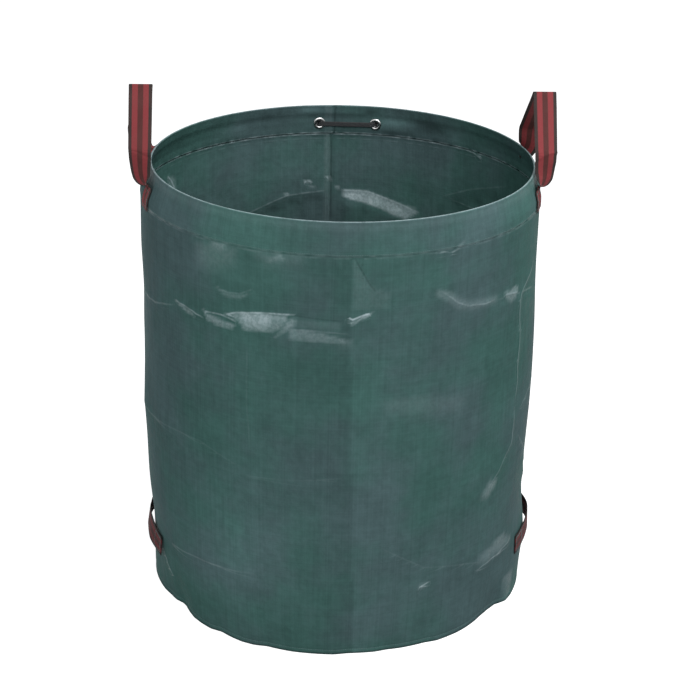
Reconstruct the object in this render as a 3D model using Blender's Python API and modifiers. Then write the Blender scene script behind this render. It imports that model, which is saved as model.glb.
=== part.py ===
"""Pop up leaf bag: a woven sheet tube on a flat base, held open by a flat springy hoop in its top hem.

Metres, +Z up. The origin is the middle of the base on the ground, X runs from handle to handle,
and -Y is the front. The seam, the eyelets and the closing band are at the back.
"""

import math

import bmesh
import bpy
from mathutils import Matrix, Vector

# Whole bag
RIM_DIAMETER = 0.670
HEIGHT = 0.840
SLUMP = 0.0265
SPREAD_SHARES = ((0.0, 0.90), (0.10, 1.0), (0.45, 0.98), (0.64, 0.83), (0.83, 0.60), (0.95, 0.44), (1.0, 0.0))
DRAW_IN_SHARES = ((0.0, 0.90), (0.10, 1.0), (0.45, 0.98), (0.64, 0.83), (0.83, 0.50), (0.92, 0.0), (1.0, 0.0))

# Sheet and its seams
SHEET = 0.0010
LAYER_GAP = 0.0003
BACK_SEAM_ANGLE = math.radians(91.5)
BACK_SEAM_LAP = 0.012
LAP_RAMP = 0.020
HEM_DEPTH = 0.058
HEM_CHANNEL_TAPER = 0.0085
BASE_TURN_UP = 0.012
BASE_FILLET = 0.003
THREAD = 0.0010
HEM_STITCH_RISE = 0.004
BASE_STITCH_RISE = 0.008
BACK_STITCH_END_GAP = 0.004

# Hoop in the hem: a flat strip standing on edge, its ends in a flat sleeve
STRIP = 0.0010
STRIP_WIDTH = 0.0080
STRIP_END_GAP = 0.002
SLEEVE_WALL = 0.0006
SLEEVE_LENGTH = 0.085
SLEEVE_ANGLE = math.radians(90.0)
RUNNING_GAP = 0.0003

# Eyelets and closing band
EYELET_DROP = 0.037
EYELET_SPACING = 0.1085
EYELET_PAIR_ANGLE = math.radians(86.1)
EYELET_FLANGE = 0.024
EYELET_BORE = 0.0124
EYELET_METAL = 0.0008
EYELET_LIP = 0.0180
BAND_WIDTH = 0.0095
BAND = 0.0016
BAND_OFF_CENTRE = 0.0020
BAND_BEND = 0.0025
BAND_KNOT = 0.0170
BAND_KNOT_LENGTH = 0.0120
BAND_KNOT_END_SHARE = 0.75

# Webbing
WEBBING_WIDTH = 0.040
WEBBING = 0.0016
STITCH_BOX_MARGIN = 0.005

# Top handles
HANDLE_RISE = 0.117
HANDLE_ANGLE = math.radians(17.5)
HANDLE_SEWN_END = 0.0365
HANDLE_SEWN_DROP = 0.061
HANDLE_EDGE_IN = 0.0094
HANDLE_TWIST_RISE = 0.042
HANDLE_LEAN_SHARE = 0.94
HANDLE_FOLD_RADIUS = 0.003
TWIST_SHARES = ((0.0, 0.0, 0.0), (0.18, 0.28, 0.24), (0.42, 0.62, 0.56), (0.70, 0.88, 0.83), (1.0, 1.0, 1.0))

# Lower handles
LOWER_HANDLE_HEIGHT = 0.110
LOWER_HANDLE_SPAN = 0.250
LOWER_SEWN_END = 0.040
LOWER_HANDLE_BOW = 0.014

# Fineness of the curved pieces
AROUND = 72
FOLD_STEPS = 4
EYELET_STEPS = 24
LOOP_STEPS = 12
BAND_STEPS = 5
THREAD_ROUNDING = 1
SLEEVE_STEPS = 8
SEWN_STEPS = 3
LEG_STEPS = 4
TOP_FOLD_STEPS = 2
SHARP_ANGLE = math.radians(35)

# Finishes: colour, roughness, metallic
FINISHES = {
    "woven_sheet": ((0.042, 0.098, 0.096, 1.0), 0.55, 0.0),
    "webbing": ((0.300, 0.055, 0.060, 1.0), 0.80, 0.0),
    "thread": ((0.030, 0.060, 0.058, 1.0), 0.70, 0.0),
    "hoop_plastic": ((0.020, 0.020, 0.022, 1.0), 0.45, 0.0),
    "eyelet_steel": ((0.750, 0.750, 0.740, 1.0), 0.25, 1.0),
    "elastic": ((0.010, 0.010, 0.012, 1.0), 0.75, 0.0),
}

RIM_RADIUS = RIM_DIAMETER / 2
SHEET_MIDDLE = RIM_RADIUS - SHEET / 2
LAYER_STEP = SHEET + LAYER_GAP
FACET_SAG = RIM_RADIUS * (1 - math.cos(math.pi / AROUND))
SLEEVE_BORE = STRIP + 2 * (RUNNING_GAP + FACET_SAG)
SLEEVE = SLEEVE_BORE + 2 * SLEEVE_WALL
HEM_FOLD_INSIDE = (SLEEVE / 2 + RUNNING_GAP + FACET_SAG) / math.cos(math.pi / 2 / FOLD_STEPS)
HEM_FOLD_RADIUS = HEM_FOLD_INSIDE + SHEET / 2
HOOP_RADIUS = SHEET_MIDDLE - HEM_FOLD_RADIUS
SLEEVE_TOP = HEIGHT - SHEET / 2 - HEM_FOLD_RADIUS
STRIP_TOP = SLEEVE_TOP - SLEEVE_WALL - RUNNING_GAP
STRIP_FOOT = STRIP_TOP - STRIP_WIDTH
SLEEVE_FOOT = STRIP_FOOT - RUNNING_GAP - SLEEVE_WALL
CHANNEL_FOOT = SLEEVE_FOOT - LAYER_GAP
WALL_TOP = HEIGHT - HEM_DEPTH - LAYER_GAP
EYELET_SEAT_GAP = LAYER_GAP + EYELET_FLANGE / 2 * math.sin(math.pi / AROUND)


def slump_at(height, shares):
    """How far the slumped wall stands off its round shape at this height."""
    share = min(max(height / HEIGHT, 0.0), 1.0)
    for (low, first), (high, second) in zip(shares, shares[1:]):
        if share <= high:
            return SLUMP * (first + (second - first) * (share - low) / (high - low))
    return SLUMP * shares[-1][1]


def oval_at(height):
    """The section's scale across and front to back: it spreads sideways and draws in at front and back."""
    across = 1 + slump_at(height, SPREAD_SHARES) / RIM_RADIUS
    deep = 1 - slump_at(height, DRAW_IN_SHARES) / RIM_RADIUS
    return across, deep


def on_bag(radius, angle, height):
    """A point given on a round bag, moved to the slumped bag's oval section."""
    across, deep = oval_at(height)
    return Vector((radius * math.cos(angle) * across, radius * math.sin(angle) * deep, height))


def tangent_at(angle, height):
    """The bag's horizontal direction at a point, towards growing angles."""
    across, deep = oval_at(height)
    return Vector((-math.sin(angle) * across, math.cos(angle) * deep, 0)).normalized()


def outward_at(angle, height):
    tangent = tangent_at(angle, height)
    return Vector((tangent.y, -tangent.x, 0))


def angles_around():
    """The angles of the bag's facets, the same for every sheet so that their layers lie parallel."""
    return [BACK_SEAM_ANGLE + 2 * math.pi * i / AROUND for i in range(AROUND)]


def wall_heights():
    """The heights where the wall's slope changes, from the ground to the hem."""
    bends = {share * HEIGHT for share, _ in SPREAD_SHARES + DRAW_IN_SHARES}
    return sorted(height for height in bends if height < WALL_TOP) + [WALL_TOP]


def clear_scene():
    for obj in list(bpy.data.objects):
        bpy.data.objects.remove(obj, do_unlink=True)


def finish(name):
    found = bpy.data.materials.get(name)
    if found:
        return found
    colour, roughness, metallic = FINISHES[name]
    made = bpy.data.materials.new(name)
    made.use_nodes = True
    shader = made.node_tree.nodes["Principled BSDF"]
    shader.inputs["Base Color"].default_value = colour
    shader.inputs["Roughness"].default_value = roughness
    shader.inputs["Metallic"].default_value = metallic
    made.diffuse_color = colour
    return made


def add_object(name, mesh, finish_name, home, hidden=False):
    """Puts a mesh in the scene under its own name, smooth except at sharp edges."""
    obj = bpy.data.objects.new(name, mesh)
    home.objects.link(obj)
    if hidden:
        obj.hide_render = True
        obj.display_type = "WIRE"
        return obj
    mesh.materials.append(finish(finish_name))
    mesh.shade_smooth()
    mesh.set_sharp_from_angle(angle=SHARP_ANGLE)
    return obj


def turn_about(obj, point):
    """Puts the object's origin on its joint's axis and leaves its shape where it is."""
    obj.data.transform(Matrix.Translation(-point))
    obj.location = point


def give_thickness(obj, thickness):
    made = obj.modifiers.new("thickness", "SOLIDIFY")
    made.thickness = thickness
    made.offset = 0
    made.use_even_offset = True
    made.use_quality_normals = True
    return made


def sheet_from_rows(name, rows, thickness, finish_name, home, closed=False, hidden=False):
    """A sheet lofted through rows of points, with its thickness; closed joins the last row to the first."""
    shape = bmesh.new()
    corners = [[shape.verts.new(point) for point in row] for row in rows]
    pairs = list(zip(corners, corners[1:]))
    if closed:
        pairs.append((corners[-1], corners[0]))
    for first, second in pairs:
        for i in range(len(first) - 1):
            shape.faces.new((first[i], first[i + 1], second[i + 1], second[i]))
    bmesh.ops.recalc_face_normals(shape, faces=shape.faces)
    mesh = bpy.data.meshes.new(name)
    shape.to_mesh(mesh)
    shape.free()
    obj = add_object(name, mesh, finish_name, home, hidden)
    give_thickness(obj, thickness)
    return obj


def tube(name, points, diameter, finish_name, home, closed=False):
    """A round tube along the points, made a mesh, with its caps welded on."""
    curve = bpy.data.curves.new(name + "_path", "CURVE")
    curve.dimensions = "3D"
    curve.bevel_depth = diameter / 2
    curve.bevel_resolution = THREAD_ROUNDING
    curve.use_fill_caps = not closed
    spline = curve.splines.new("POLY")
    spline.points.add(len(points) - 1)
    for target, point in zip(spline.points, points):
        target.co = (*point, 1)
    spline.use_cyclic_u = closed
    guide = bpy.data.objects.new(name + "_path", curve)
    home.objects.link(guide)
    bpy.context.view_layer.update()
    graph = bpy.context.evaluated_depsgraph_get()
    mesh = bpy.data.meshes.new_from_object(guide.evaluated_get(graph))
    mesh.name = name
    bpy.data.objects.remove(guide, do_unlink=True)
    shape = bmesh.new()
    shape.from_mesh(mesh)
    bmesh.ops.remove_doubles(shape, verts=shape.verts, dist=diameter / 1000)
    bmesh.ops.recalc_face_normals(shape, faces=shape.faces)
    shape.to_mesh(mesh)
    shape.free()
    return add_object(name, mesh, finish_name, home)


def turned(name, outline, finish_name, home, hidden=False):
    """A closed outline of (radius, height) points turned about the object's own Z axis."""
    shape = bmesh.new()
    corners = [shape.verts.new((radius, 0, height)) for radius, height in outline]
    for first, second in zip(corners, corners[1:] + corners[:1]):
        shape.edges.new((first, second))
    mesh = bpy.data.meshes.new(name)
    shape.to_mesh(mesh)
    shape.free()
    obj = add_object(name, mesh, finish_name, home, hidden)
    turn = obj.modifiers.new("turn", "SCREW")
    turn.steps = EYELET_STEPS
    turn.render_steps = EYELET_STEPS
    turn.use_merge_vertices = True
    turn.merge_threshold = LAYER_GAP / 10
    return obj


def boolean(obj, other, operation):
    made = obj.modifiers.new(other.name, "BOOLEAN")
    made.operation = operation
    made.solver = "EXACT"
    made.object = other


def wall_turns():
    """The wall sheet's plan as (turn from the back seam, step outwards), lapping over its own start."""
    full = 2 * math.pi
    ramp = LAP_RAMP / SHEET_MIDDLE
    turns = [(full * i / AROUND, 0) for i in range(AROUND) if full * i / AROUND < full - ramp]
    return turns + [(full - ramp, 0), (full, LAYER_STEP), (full + BACK_SEAM_LAP / SHEET_MIDDLE, LAYER_STEP)]


def wall_panel(home):
    """One sheet wrapped round, its ends lapped at the back, the outer end stepping over the inner one."""
    rows = []
    for turn, step in wall_turns():
        angle = BACK_SEAM_ANGLE + turn
        rows.append([on_bag(SHEET_MIDDLE + step, angle, height) for height in wall_heights()])
    return sheet_from_rows("wall_panel", rows, SHEET, "woven_sheet", home)


def base_panel(home):
    """The oval floor sheet with its edge turned up inside the wall."""
    turn_up_radius = SHEET_MIDDLE - LAYER_STEP
    floor = SHEET / 2
    profile = [(turn_up_radius, BASE_TURN_UP), (turn_up_radius, floor + BASE_FILLET)]
    profile.append((turn_up_radius - BASE_FILLET, floor))
    shape = bmesh.new()
    rings = []
    for radius, height in profile:
        rings.append([shape.verts.new(on_bag(radius, angle, height)) for angle in angles_around()])
    for first, second in zip(rings, rings[1:]):
        for i in range(AROUND):
            j = (i + 1) % AROUND
            shape.faces.new((first[i], first[j], second[j], second[i]))
    shape.faces.new(rings[-1])
    bmesh.ops.recalc_face_normals(shape, faces=shape.faces)
    mesh = bpy.data.meshes.new("base_panel")
    shape.to_mesh(mesh)
    shape.free()
    obj = add_object("base_panel", mesh, "woven_sheet", home)
    give_thickness(obj, SHEET)
    return obj


def hem_profile():
    """The folded hem's middle line, from the foot of its outer layer over the hoop to its inner foot."""
    foot = HEIGHT - HEM_DEPTH
    points = [(SHEET_MIDDLE, foot), (SHEET_MIDDLE, (foot + CHANNEL_FOOT) / 2), (SHEET_MIDDLE, CHANNEL_FOOT)]
    for i in range(FOLD_STEPS + 1):
        turn = math.pi * i / FOLD_STEPS
        radius = HOOP_RADIUS + HEM_FOLD_RADIUS * math.cos(turn)
        points.append((radius, SLEEVE_TOP + HEM_FOLD_RADIUS * math.sin(turn)))
    points.append((HOOP_RADIUS - HEM_FOLD_RADIUS, CHANNEL_FOOT))
    inner = SHEET_MIDDLE - LAYER_STEP
    points.append((inner, CHANNEL_FOOT - HEM_CHANNEL_TAPER))
    points.append((inner, (foot + CHANNEL_FOOT) / 2))
    points.append((inner, foot))
    return points


def rim_hem(home, cutters):
    """The top of the sheet folded inwards over the hoop, pierced by the two eyelets."""
    profile = hem_profile()
    rows = []
    for angle in angles_around():
        rows.append([on_bag(radius, angle, height) for radius, height in profile])
    obj = sheet_from_rows("rim_hem", rows, SHEET, "woven_sheet", home, closed=True)
    hole = EYELET_BORE / 2 + EYELET_METAL + RUNNING_GAP
    reach = EYELET_FLANGE / 2
    outline = [(0, reach), (hole, reach), (hole, -reach), (0, -reach)]
    for side in ("left", "right"):
        cutter = turned("eyelet_hole_" + side, outline, "", cutters, hidden=True)
        cutter.matrix_world = eyelet_place(side)
        boolean(obj, cutter, "DIFFERENCE")
    return obj


def ring_points(radius, height):
    return [on_bag(radius, angle, height) for angle in angles_around()]


def threads(home):
    """Lockstitch lines: round the hem, round the foot of the wall, and up the back seam."""
    outside = RIM_RADIUS + LAYER_GAP + THREAD / 2
    hem_height = HEIGHT - HEM_DEPTH + HEM_STITCH_RISE
    tube("hem_thread", ring_points(outside, hem_height), THREAD, "thread", home, closed=True)
    over_lap = []
    for turn, step in wall_turns():
        if turn > BACK_SEAM_LAP / SHEET_MIDDLE:
            over_lap.append(on_bag(outside + step, BACK_SEAM_ANGLE + turn, BASE_STITCH_RISE))
    tube("base_seam_thread", over_lap, THREAD, "thread", home, closed=True)
    inside = RIM_RADIUS - SHEET - LAYER_GAP - FACET_SAG - THREAD / 2
    angle = BACK_SEAM_ANGLE + BACK_SEAM_LAP / SHEET_MIDDLE / 2
    low = BASE_TURN_UP + BACK_STITCH_END_GAP
    high = WALL_TOP - BACK_STITCH_END_GAP
    heights = [low] + [height for height in wall_heights() if low < height < high] + [high]
    tube("back_seam_thread", [on_bag(inside, angle, height) for height in heights], THREAD, "thread", home)


def strip_rows(start, end, steps, foot, top):
    """Upright rows of a flat strip bent round the rim, between two angles."""
    angles = [start + (end - start) * i / steps for i in range(steps + 1)]
    return [[on_bag(HOOP_RADIUS, angle, height) for height in (foot, top)] for angle in angles]


def hoop(home, cutters):
    """A flat spring strip bent to a ring on its edge, its two ends held in a flat sleeve."""
    half_gap = STRIP_END_GAP / 2 / HOOP_RADIUS
    start = SLEEVE_ANGLE + half_gap
    end = SLEEVE_ANGLE + 2 * math.pi - half_gap
    rows = strip_rows(start, end, AROUND, STRIP_FOOT, STRIP_TOP)
    sheet_from_rows("rim_hoop", rows, STRIP, "hoop_plastic", home)
    half = SLEEVE_LENGTH / 2 / HOOP_RADIUS
    rows = strip_rows(SLEEVE_ANGLE - half, SLEEVE_ANGLE + half, SLEEVE_STEPS, SLEEVE_FOOT, SLEEVE_TOP)
    sleeve = sheet_from_rows("hoop_sleeve", rows, SLEEVE, "hoop_plastic", home)
    over = half * (1 + 2 / SLEEVE_STEPS)
    foot = STRIP_FOOT - RUNNING_GAP
    top = STRIP_TOP + RUNNING_GAP
    rows = strip_rows(SLEEVE_ANGLE - over, SLEEVE_ANGLE + over, SLEEVE_STEPS + 2, foot, top)
    cutter = sheet_from_rows("sleeve_bore", rows, SLEEVE_BORE, "", cutters, hidden=True)
    boolean(sleeve, cutter, "DIFFERENCE")


def eyelet_angle(side):
    half = math.asin(EYELET_SPACING / 2 / RIM_RADIUS)
    return EYELET_PAIR_ANGLE + (half if side == "left" else -half)


def eyelet_place(side):
    """The eyelet's own frame: origin on the hem's inner face, +Z into the bag."""
    height = HEIGHT - EYELET_DROP
    angle = eyelet_angle(side)
    origin = on_bag(SHEET_MIDDLE - LAYER_STEP - SHEET / 2, angle, height)
    inward = -outward_at(angle, height)
    up = Vector((0, 0, 1))
    across = up.cross(inward)
    turn = Matrix((across, up, inward)).transposed().to_4x4()
    return Matrix.Translation(origin) @ turn


def eyelets(home):
    """A rolled eyelet pushed through from the inside and a washer under its lip outside."""
    stack = 2 * SHEET + LAYER_GAP
    bore = EYELET_BORE / 2
    barrel = bore + EYELET_METAL
    face = EYELET_SEAT_GAP
    washer_top = -stack - EYELET_SEAT_GAP
    washer_foot = washer_top - EYELET_METAL
    lip_top = washer_foot - RUNNING_GAP
    lip_foot = lip_top - EYELET_METAL
    flange = EYELET_FLANGE / 2
    lip = EYELET_LIP / 2
    eyelet = [
        (bore, lip_foot),
        (bore, face + EYELET_METAL),
        (flange - EYELET_METAL, face + EYELET_METAL),
        (flange, face + EYELET_METAL / 2),
        (flange, face),
        (barrel, face),
        (barrel, lip_top),
        (lip, lip_top),
        (lip, lip_foot),
    ]
    hole = barrel + RUNNING_GAP
    washer = [(hole, washer_foot), (hole, washer_top), (flange, washer_top), (flange, washer_foot)]
    for side in ("left", "right"):
        for name, outline in (("eyelet_", eyelet), ("washer_", washer)):
            obj = turned(name + side, outline, "eyelet_steel", home)
            obj.matrix_world = eyelet_place(side)
    return lip_foot


def closing_band(home, cutters, lip_foot):
    """A flat elastic straight across inside, out through both eyelets, with a stop knot behind each."""
    knot_middle = lip_foot - LAYER_GAP - BAND_KNOT_LENGTH / 2
    bend_turn = math.pi / 2 - math.asin(EYELET_SPACING / 2 / RIM_RADIUS)
    half_width = Vector((0, 0, BAND_WIDTH / 2))
    ends = {}
    for side in ("left", "right"):
        place = eyelet_place(side)
        towards = 1 if side == "left" else -1
        points = [place @ Vector((towards * BAND_OFF_CENTRE, 0, knot_middle))]
        for i in range(BAND_STEPS + 1):
            turn = bend_turn * i / BAND_STEPS
            across = BAND_OFF_CENTRE + BAND_BEND * (1 - math.cos(turn))
            deep = EYELET_SEAT_GAP + BAND_BEND * math.sin(turn)
            points.append(place @ Vector((towards * across, 0, deep)))
        ends[side] = points
    route = ends["left"] + ends["right"][::-1]
    stations = [(point, half_width) for point in route]
    band = sheet_from_rows("closing_band", strap_rows(stations), BAND, "elastic", home)
    half = BAND_KNOT_LENGTH / 2
    radius = BAND_KNOT / 2
    end = radius * BAND_KNOT_END_SHARE
    outline = [(0, half), (end, half), (radius, half / 2), (radius, -half / 2), (end, -half), (0, -half)]
    for side in ("left", "right"):
        knot = turned("band_knot_" + side, outline, "", cutters, hidden=True)
        knot.matrix_world = eyelet_place(side) @ Matrix.Translation((0, 0, knot_middle))
        boolean(band, knot, "UNION")


def strap_rows(stations):
    """Each station is the strap's middle and the vector from there to its second edge."""
    return [[middle - half, middle, middle + half] for middle, half in stations]


def stitch_box(name, stations, lift, home):
    """A rectangle of thread lying on a sewn end, down one side of its stations and up the other."""
    inset = 1 - STITCH_BOX_MARGIN / (WEBBING_WIDTH / 2)
    down = [middle + half * inset + lift for middle, half in stations]
    up = [middle - half * inset + lift for middle, half in reversed(stations)]
    first, last = stations[0][0] + lift, stations[-1][0] + lift
    tube(name, [first] + down + [last] + up, THREAD, "thread", home, closed=True)


def top_handle(side, home):
    """One strap: two ends sewn on the hem, each turning edge-on above its seam, and a sharp fold on top."""
    sign = -1 if side == "left" else 1
    sewn_top = HEIGHT - HANDLE_SEWN_DROP + HANDLE_SEWN_END
    stand_off = THREAD + 2 * LAYER_GAP + WEBBING / 2
    half_width = WEBBING_WIDTH / 2
    lift_off = WEBBING / 2 + 2 * LAYER_GAP + THREAD / 2
    angle = -HANDLE_ANGLE

    def sewn_station(height):
        middle = on_bag(RIM_RADIUS, angle, height) + outward_at(angle, height) * stand_off
        return middle, tangent_at(angle, height) * half_width

    sewn = [sewn_station(sewn_top - HANDLE_SEWN_END * i / SEWN_STEPS) for i in range(SEWN_STEPS + 1)]
    stitched = [sewn_station(sewn_top - STITCH_BOX_MARGIN)] + sewn[1:-1]
    stitched.append(sewn_station(sewn_top - HANDLE_SEWN_END + STITCH_BOX_MARGIN))
    foot = sewn_top + LAYER_GAP + WEBBING / 2
    start, start_half = sewn_station(foot)
    upright = Vector((RIM_RADIUS - HANDLE_EDGE_IN + half_width, start.y * HANDLE_LEAN_SHARE, foot + HANDLE_TWIST_RISE))
    front = []
    for rise, outward, twist in TWIST_SHARES:
        middle = start.lerp(upright, outward)
        middle.z = foot + HANDLE_TWIST_RISE * rise
        turn = math.pi / 2 * twist
        half = start_half * math.cos(turn) + Vector((half_width, 0, 0)) * math.sin(turn)
        front.append((middle, half.normalized() * half_width))
    flat = Vector((half_width, 0, 0))
    top = HEIGHT + HANDLE_RISE - WEBBING / 2
    fold = Vector((upright.x, 0, top - HANDLE_FOLD_RADIUS))
    lean = math.atan2(-upright.y, fold.z - upright.z)
    for i in range(1, LEG_STEPS):
        near = upright.lerp(fold - Vector((0, HANDLE_FOLD_RADIUS, 0)), i / LEG_STEPS)
        front.append((near, flat))
    for i in range(TOP_FOLD_STEPS + 1):
        turn = lean * (1 - i / TOP_FOLD_STEPS)
        offset = Vector((0, -math.sin(turn), math.cos(turn))) * HANDLE_FOLD_RADIUS
        front.append((fold + offset, flat))

    def placed(point):
        return Vector((sign * point.x, point.y, point.z))

    def rear(point):
        return Vector((point.x, -point.y, point.z))

    whole = front + [(rear(middle), rear(half)) for middle, half in front[-2::-1]]
    loop = [(placed(middle), placed(half)) for middle, half in whole]
    obj = sheet_from_rows(side + "_handle_loop", strap_rows(loop), WEBBING, "webbing", home)
    turn_about(obj, placed(Vector((upright.x, 0, sewn_top))))
    for place, move in (("front", Vector), ("rear", rear)):
        ends = [(placed(move(middle)), placed(move(half))) for middle, half in sewn]
        name = side + "_handle_" + place
        sheet_from_rows(name + "_end", strap_rows(ends), WEBBING, "webbing", home)
        line = [(placed(move(middle)), placed(move(half))) for middle, half in stitched]
        lift = placed(move(outward_at(angle, sewn_top))) * lift_off
        stitch_box(name + "_stitching", line, lift, home)


def lower_handle(side, home):
    """A level strap low on the wall, sewn at both ends and bowed out a little between them."""
    sign = -1 if side == "left" else 1
    height = LOWER_HANDLE_HEIGHT
    half_span = LOWER_HANDLE_SPAN / 2
    loop_half = half_span - LOWER_SEWN_END
    deep = oval_at(height)[1]
    rise = Vector((0, 0, WEBBING_WIDTH / 2))

    def station(across, bow):
        turn = across / (RIM_RADIUS * deep)
        wall = on_bag(RIM_RADIUS, turn, height)
        return wall + outward_at(turn, height) * (LAYER_GAP + WEBBING / 2 + bow)

    def placed(point):
        return Vector((sign * point.x, point.y, point.z))

    loop = []
    for i in range(LOOP_STEPS + 1):
        share = 2 * i / LOOP_STEPS - 1
        bow = LOWER_HANDLE_BOW * math.cos(math.pi / 2 * share) ** 2
        loop.append((placed(station(share * loop_half, bow)), rise))
    obj = sheet_from_rows("lower_" + side + "_handle_loop", strap_rows(loop), WEBBING, "webbing", home)
    turn_about(obj, placed(station(0, LOWER_HANDLE_BOW)))
    near = loop_half + LAYER_GAP
    for place, way in (("front", -1), ("rear", 1)):
        steps = [near + LOWER_SEWN_END * i / SEWN_STEPS for i in range(SEWN_STEPS + 1)]
        ends = [(placed(station(way * step, 0)), rise) for step in steps]
        name = "lower_" + side + "_handle_" + place
        sheet_from_rows(name + "_end", strap_rows(ends), WEBBING, "webbing", home)
        edges = [near + STITCH_BOX_MARGIN]
        edges += [near + LOWER_SEWN_END * i / SEWN_STEPS for i in range(1, SEWN_STEPS)]
        edges.append(near + LOWER_SEWN_END - STITCH_BOX_MARGIN)
        lift_off = WEBBING / 2 + 2 * LAYER_GAP + THREAD / 2
        line = [(placed(station(way * edge, lift_off)), rise) for edge in edges]
        stitch_box(name + "_stitching", line, Vector(), home)


def build():
    clear_scene()
    home = bpy.data.collections.new("pop_up_leaf_bag")
    cutters = bpy.data.collections.new("cutters")
    for collection in (home, cutters):
        bpy.context.scene.collection.children.link(collection)
    base_panel(home)
    wall_panel(home)
    rim_hem(home, cutters)
    threads(home)
    hoop(home, cutters)
    lip_foot = eyelets(home)
    closing_band(home, cutters, lip_foot)
    for side in ("left", "right"):
        top_handle(side, home)
        lower_handle(side, home)


build()
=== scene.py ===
# %% [markdown]
# # A pop up leaf bag, dressed over its frame
#
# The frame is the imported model: every solid sits where it belongs, in metres, and each one rides
# on a body that can move. This script dresses those solids with cloth, webbing, thread and metal.
# The bag is a tube of woven plastic sheet on a flat sewn base, held open by a hoop in its top hem.

import math
from contextlib import contextmanager

import bmesh
import bpy
import numpy as np
from mathutils import Matrix, Vector


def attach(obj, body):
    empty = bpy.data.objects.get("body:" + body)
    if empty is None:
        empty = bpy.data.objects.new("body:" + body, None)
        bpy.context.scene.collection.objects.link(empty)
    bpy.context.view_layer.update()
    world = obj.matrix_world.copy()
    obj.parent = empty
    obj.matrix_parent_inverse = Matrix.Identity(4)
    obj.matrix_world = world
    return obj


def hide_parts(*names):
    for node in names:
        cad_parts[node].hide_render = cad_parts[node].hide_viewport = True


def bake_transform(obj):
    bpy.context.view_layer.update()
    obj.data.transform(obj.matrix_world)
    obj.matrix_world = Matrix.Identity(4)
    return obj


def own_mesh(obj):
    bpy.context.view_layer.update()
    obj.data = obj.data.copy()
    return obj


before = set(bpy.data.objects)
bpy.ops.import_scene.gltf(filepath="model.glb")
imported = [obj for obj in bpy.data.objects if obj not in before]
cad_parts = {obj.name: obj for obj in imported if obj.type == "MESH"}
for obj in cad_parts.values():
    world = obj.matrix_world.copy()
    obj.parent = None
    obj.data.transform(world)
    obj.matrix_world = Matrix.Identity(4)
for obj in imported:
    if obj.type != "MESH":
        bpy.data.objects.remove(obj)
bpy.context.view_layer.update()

# %% [markdown]
# ## The camera
#
# The picture was taken from a little above the rim, a hair to the left of the front, with a long
# lens and a slight tilt. The rim's ellipse and the base's curve fix all of those numbers, because
# both are circles of known size on the real bag.

# %% Place the camera
VIEW_TURN = math.radians(-2.704)
VIEW_RISE = math.radians(25.302)
VIEW_TILT = math.radians(1.212)
VIEW_DISTANCE = 2.469
VIEW_TARGET = Vector((0.002, 0.0, 0.4839))
LENS_PIXELS = 1326.03
PICTURE_PIXELS = 680


def aim_camera():
    back = Vector(
        (
            math.sin(VIEW_TURN) * math.cos(VIEW_RISE),
            -math.cos(VIEW_TURN) * math.cos(VIEW_RISE),
            math.sin(VIEW_RISE),
        )
    )
    across = Vector((math.cos(VIEW_TURN), math.sin(VIEW_TURN), 0))
    up = back.cross(across)
    tilted_across = across * math.cos(VIEW_TILT) + up * math.sin(VIEW_TILT)
    tilted_up = up * math.cos(VIEW_TILT) - across * math.sin(VIEW_TILT)
    lens = bpy.data.cameras.new("photo_camera")
    lens.sensor_width = 36
    lens.lens = LENS_PIXELS / PICTURE_PIXELS * lens.sensor_width
    camera = bpy.data.objects.new("photo_camera", lens)
    turn = Matrix((tilted_across, tilted_up, back)).transposed().to_4x4()
    camera.matrix_world = Matrix.Translation(VIEW_TARGET + back * VIEW_DISTANCE) @ turn
    bpy.context.scene.collection.objects.link(camera)
    bpy.context.scene.camera = camera
    return camera


camera = aim_camera()
print("lens:", round(camera.data.lens, 1), "mm")

# %% [markdown]
# ## Two helpers for meshes
#
# A mesh shows once an object holds it and the scene's collection holds the object. Blender's mesh
# tools work on an opened copy of the mesh, which is written back when the work is done.

# %% Define how a mesh is linked and reshaped
def link(mesh, name):
    piece = bpy.data.objects.new(name, mesh)
    bpy.context.scene.collection.objects.link(piece)
    return piece


@contextmanager
def reshaping(mesh):
    """Opens a mesh for bmesh's tools and writes it back."""
    shape = bmesh.new()
    shape.from_mesh(mesh)
    yield shape
    shape.to_mesh(mesh)
    shape.free()


SIDES, ENDS = ("left", "right"), ("front", "rear")
print("sides:", SIDES, "ends:", ENDS)

# %% [markdown]
# ## The studio
#
# A plain pale floor and a white surround. What the camera sees of them is white because their own
# colour says so, while the lamps stay at a level where a colour renders about as it is written.
# One wide lamp stands high on the right, so the left of the bag is a little darker than the right
# and the inside is lit on its left wall. A second, weaker one in front brings out the folds.

# %% Build the surround
AIR_COLOUR, AIR_STRENGTH = (0.93, 0.97, 1.0, 1), 0.47


def looked_at(tree):
    """1 where the camera, a reflection or glass looks at the surface, and 0 where only light lands on it."""
    path = tree.nodes.new("ShaderNodeLightPath")
    seen = path.outputs["Is Camera Ray"]
    for ray in ("Is Glossy Ray", "Is Transmission Ray"):
        either = tree.nodes.new("ShaderNodeMath")
        either.operation = "MAXIMUM"
        tree.links.new(seen, either.inputs[0])
        tree.links.new(path.outputs[ray], either.inputs[1])
        seen = either.outputs[0]
    return seen


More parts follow.
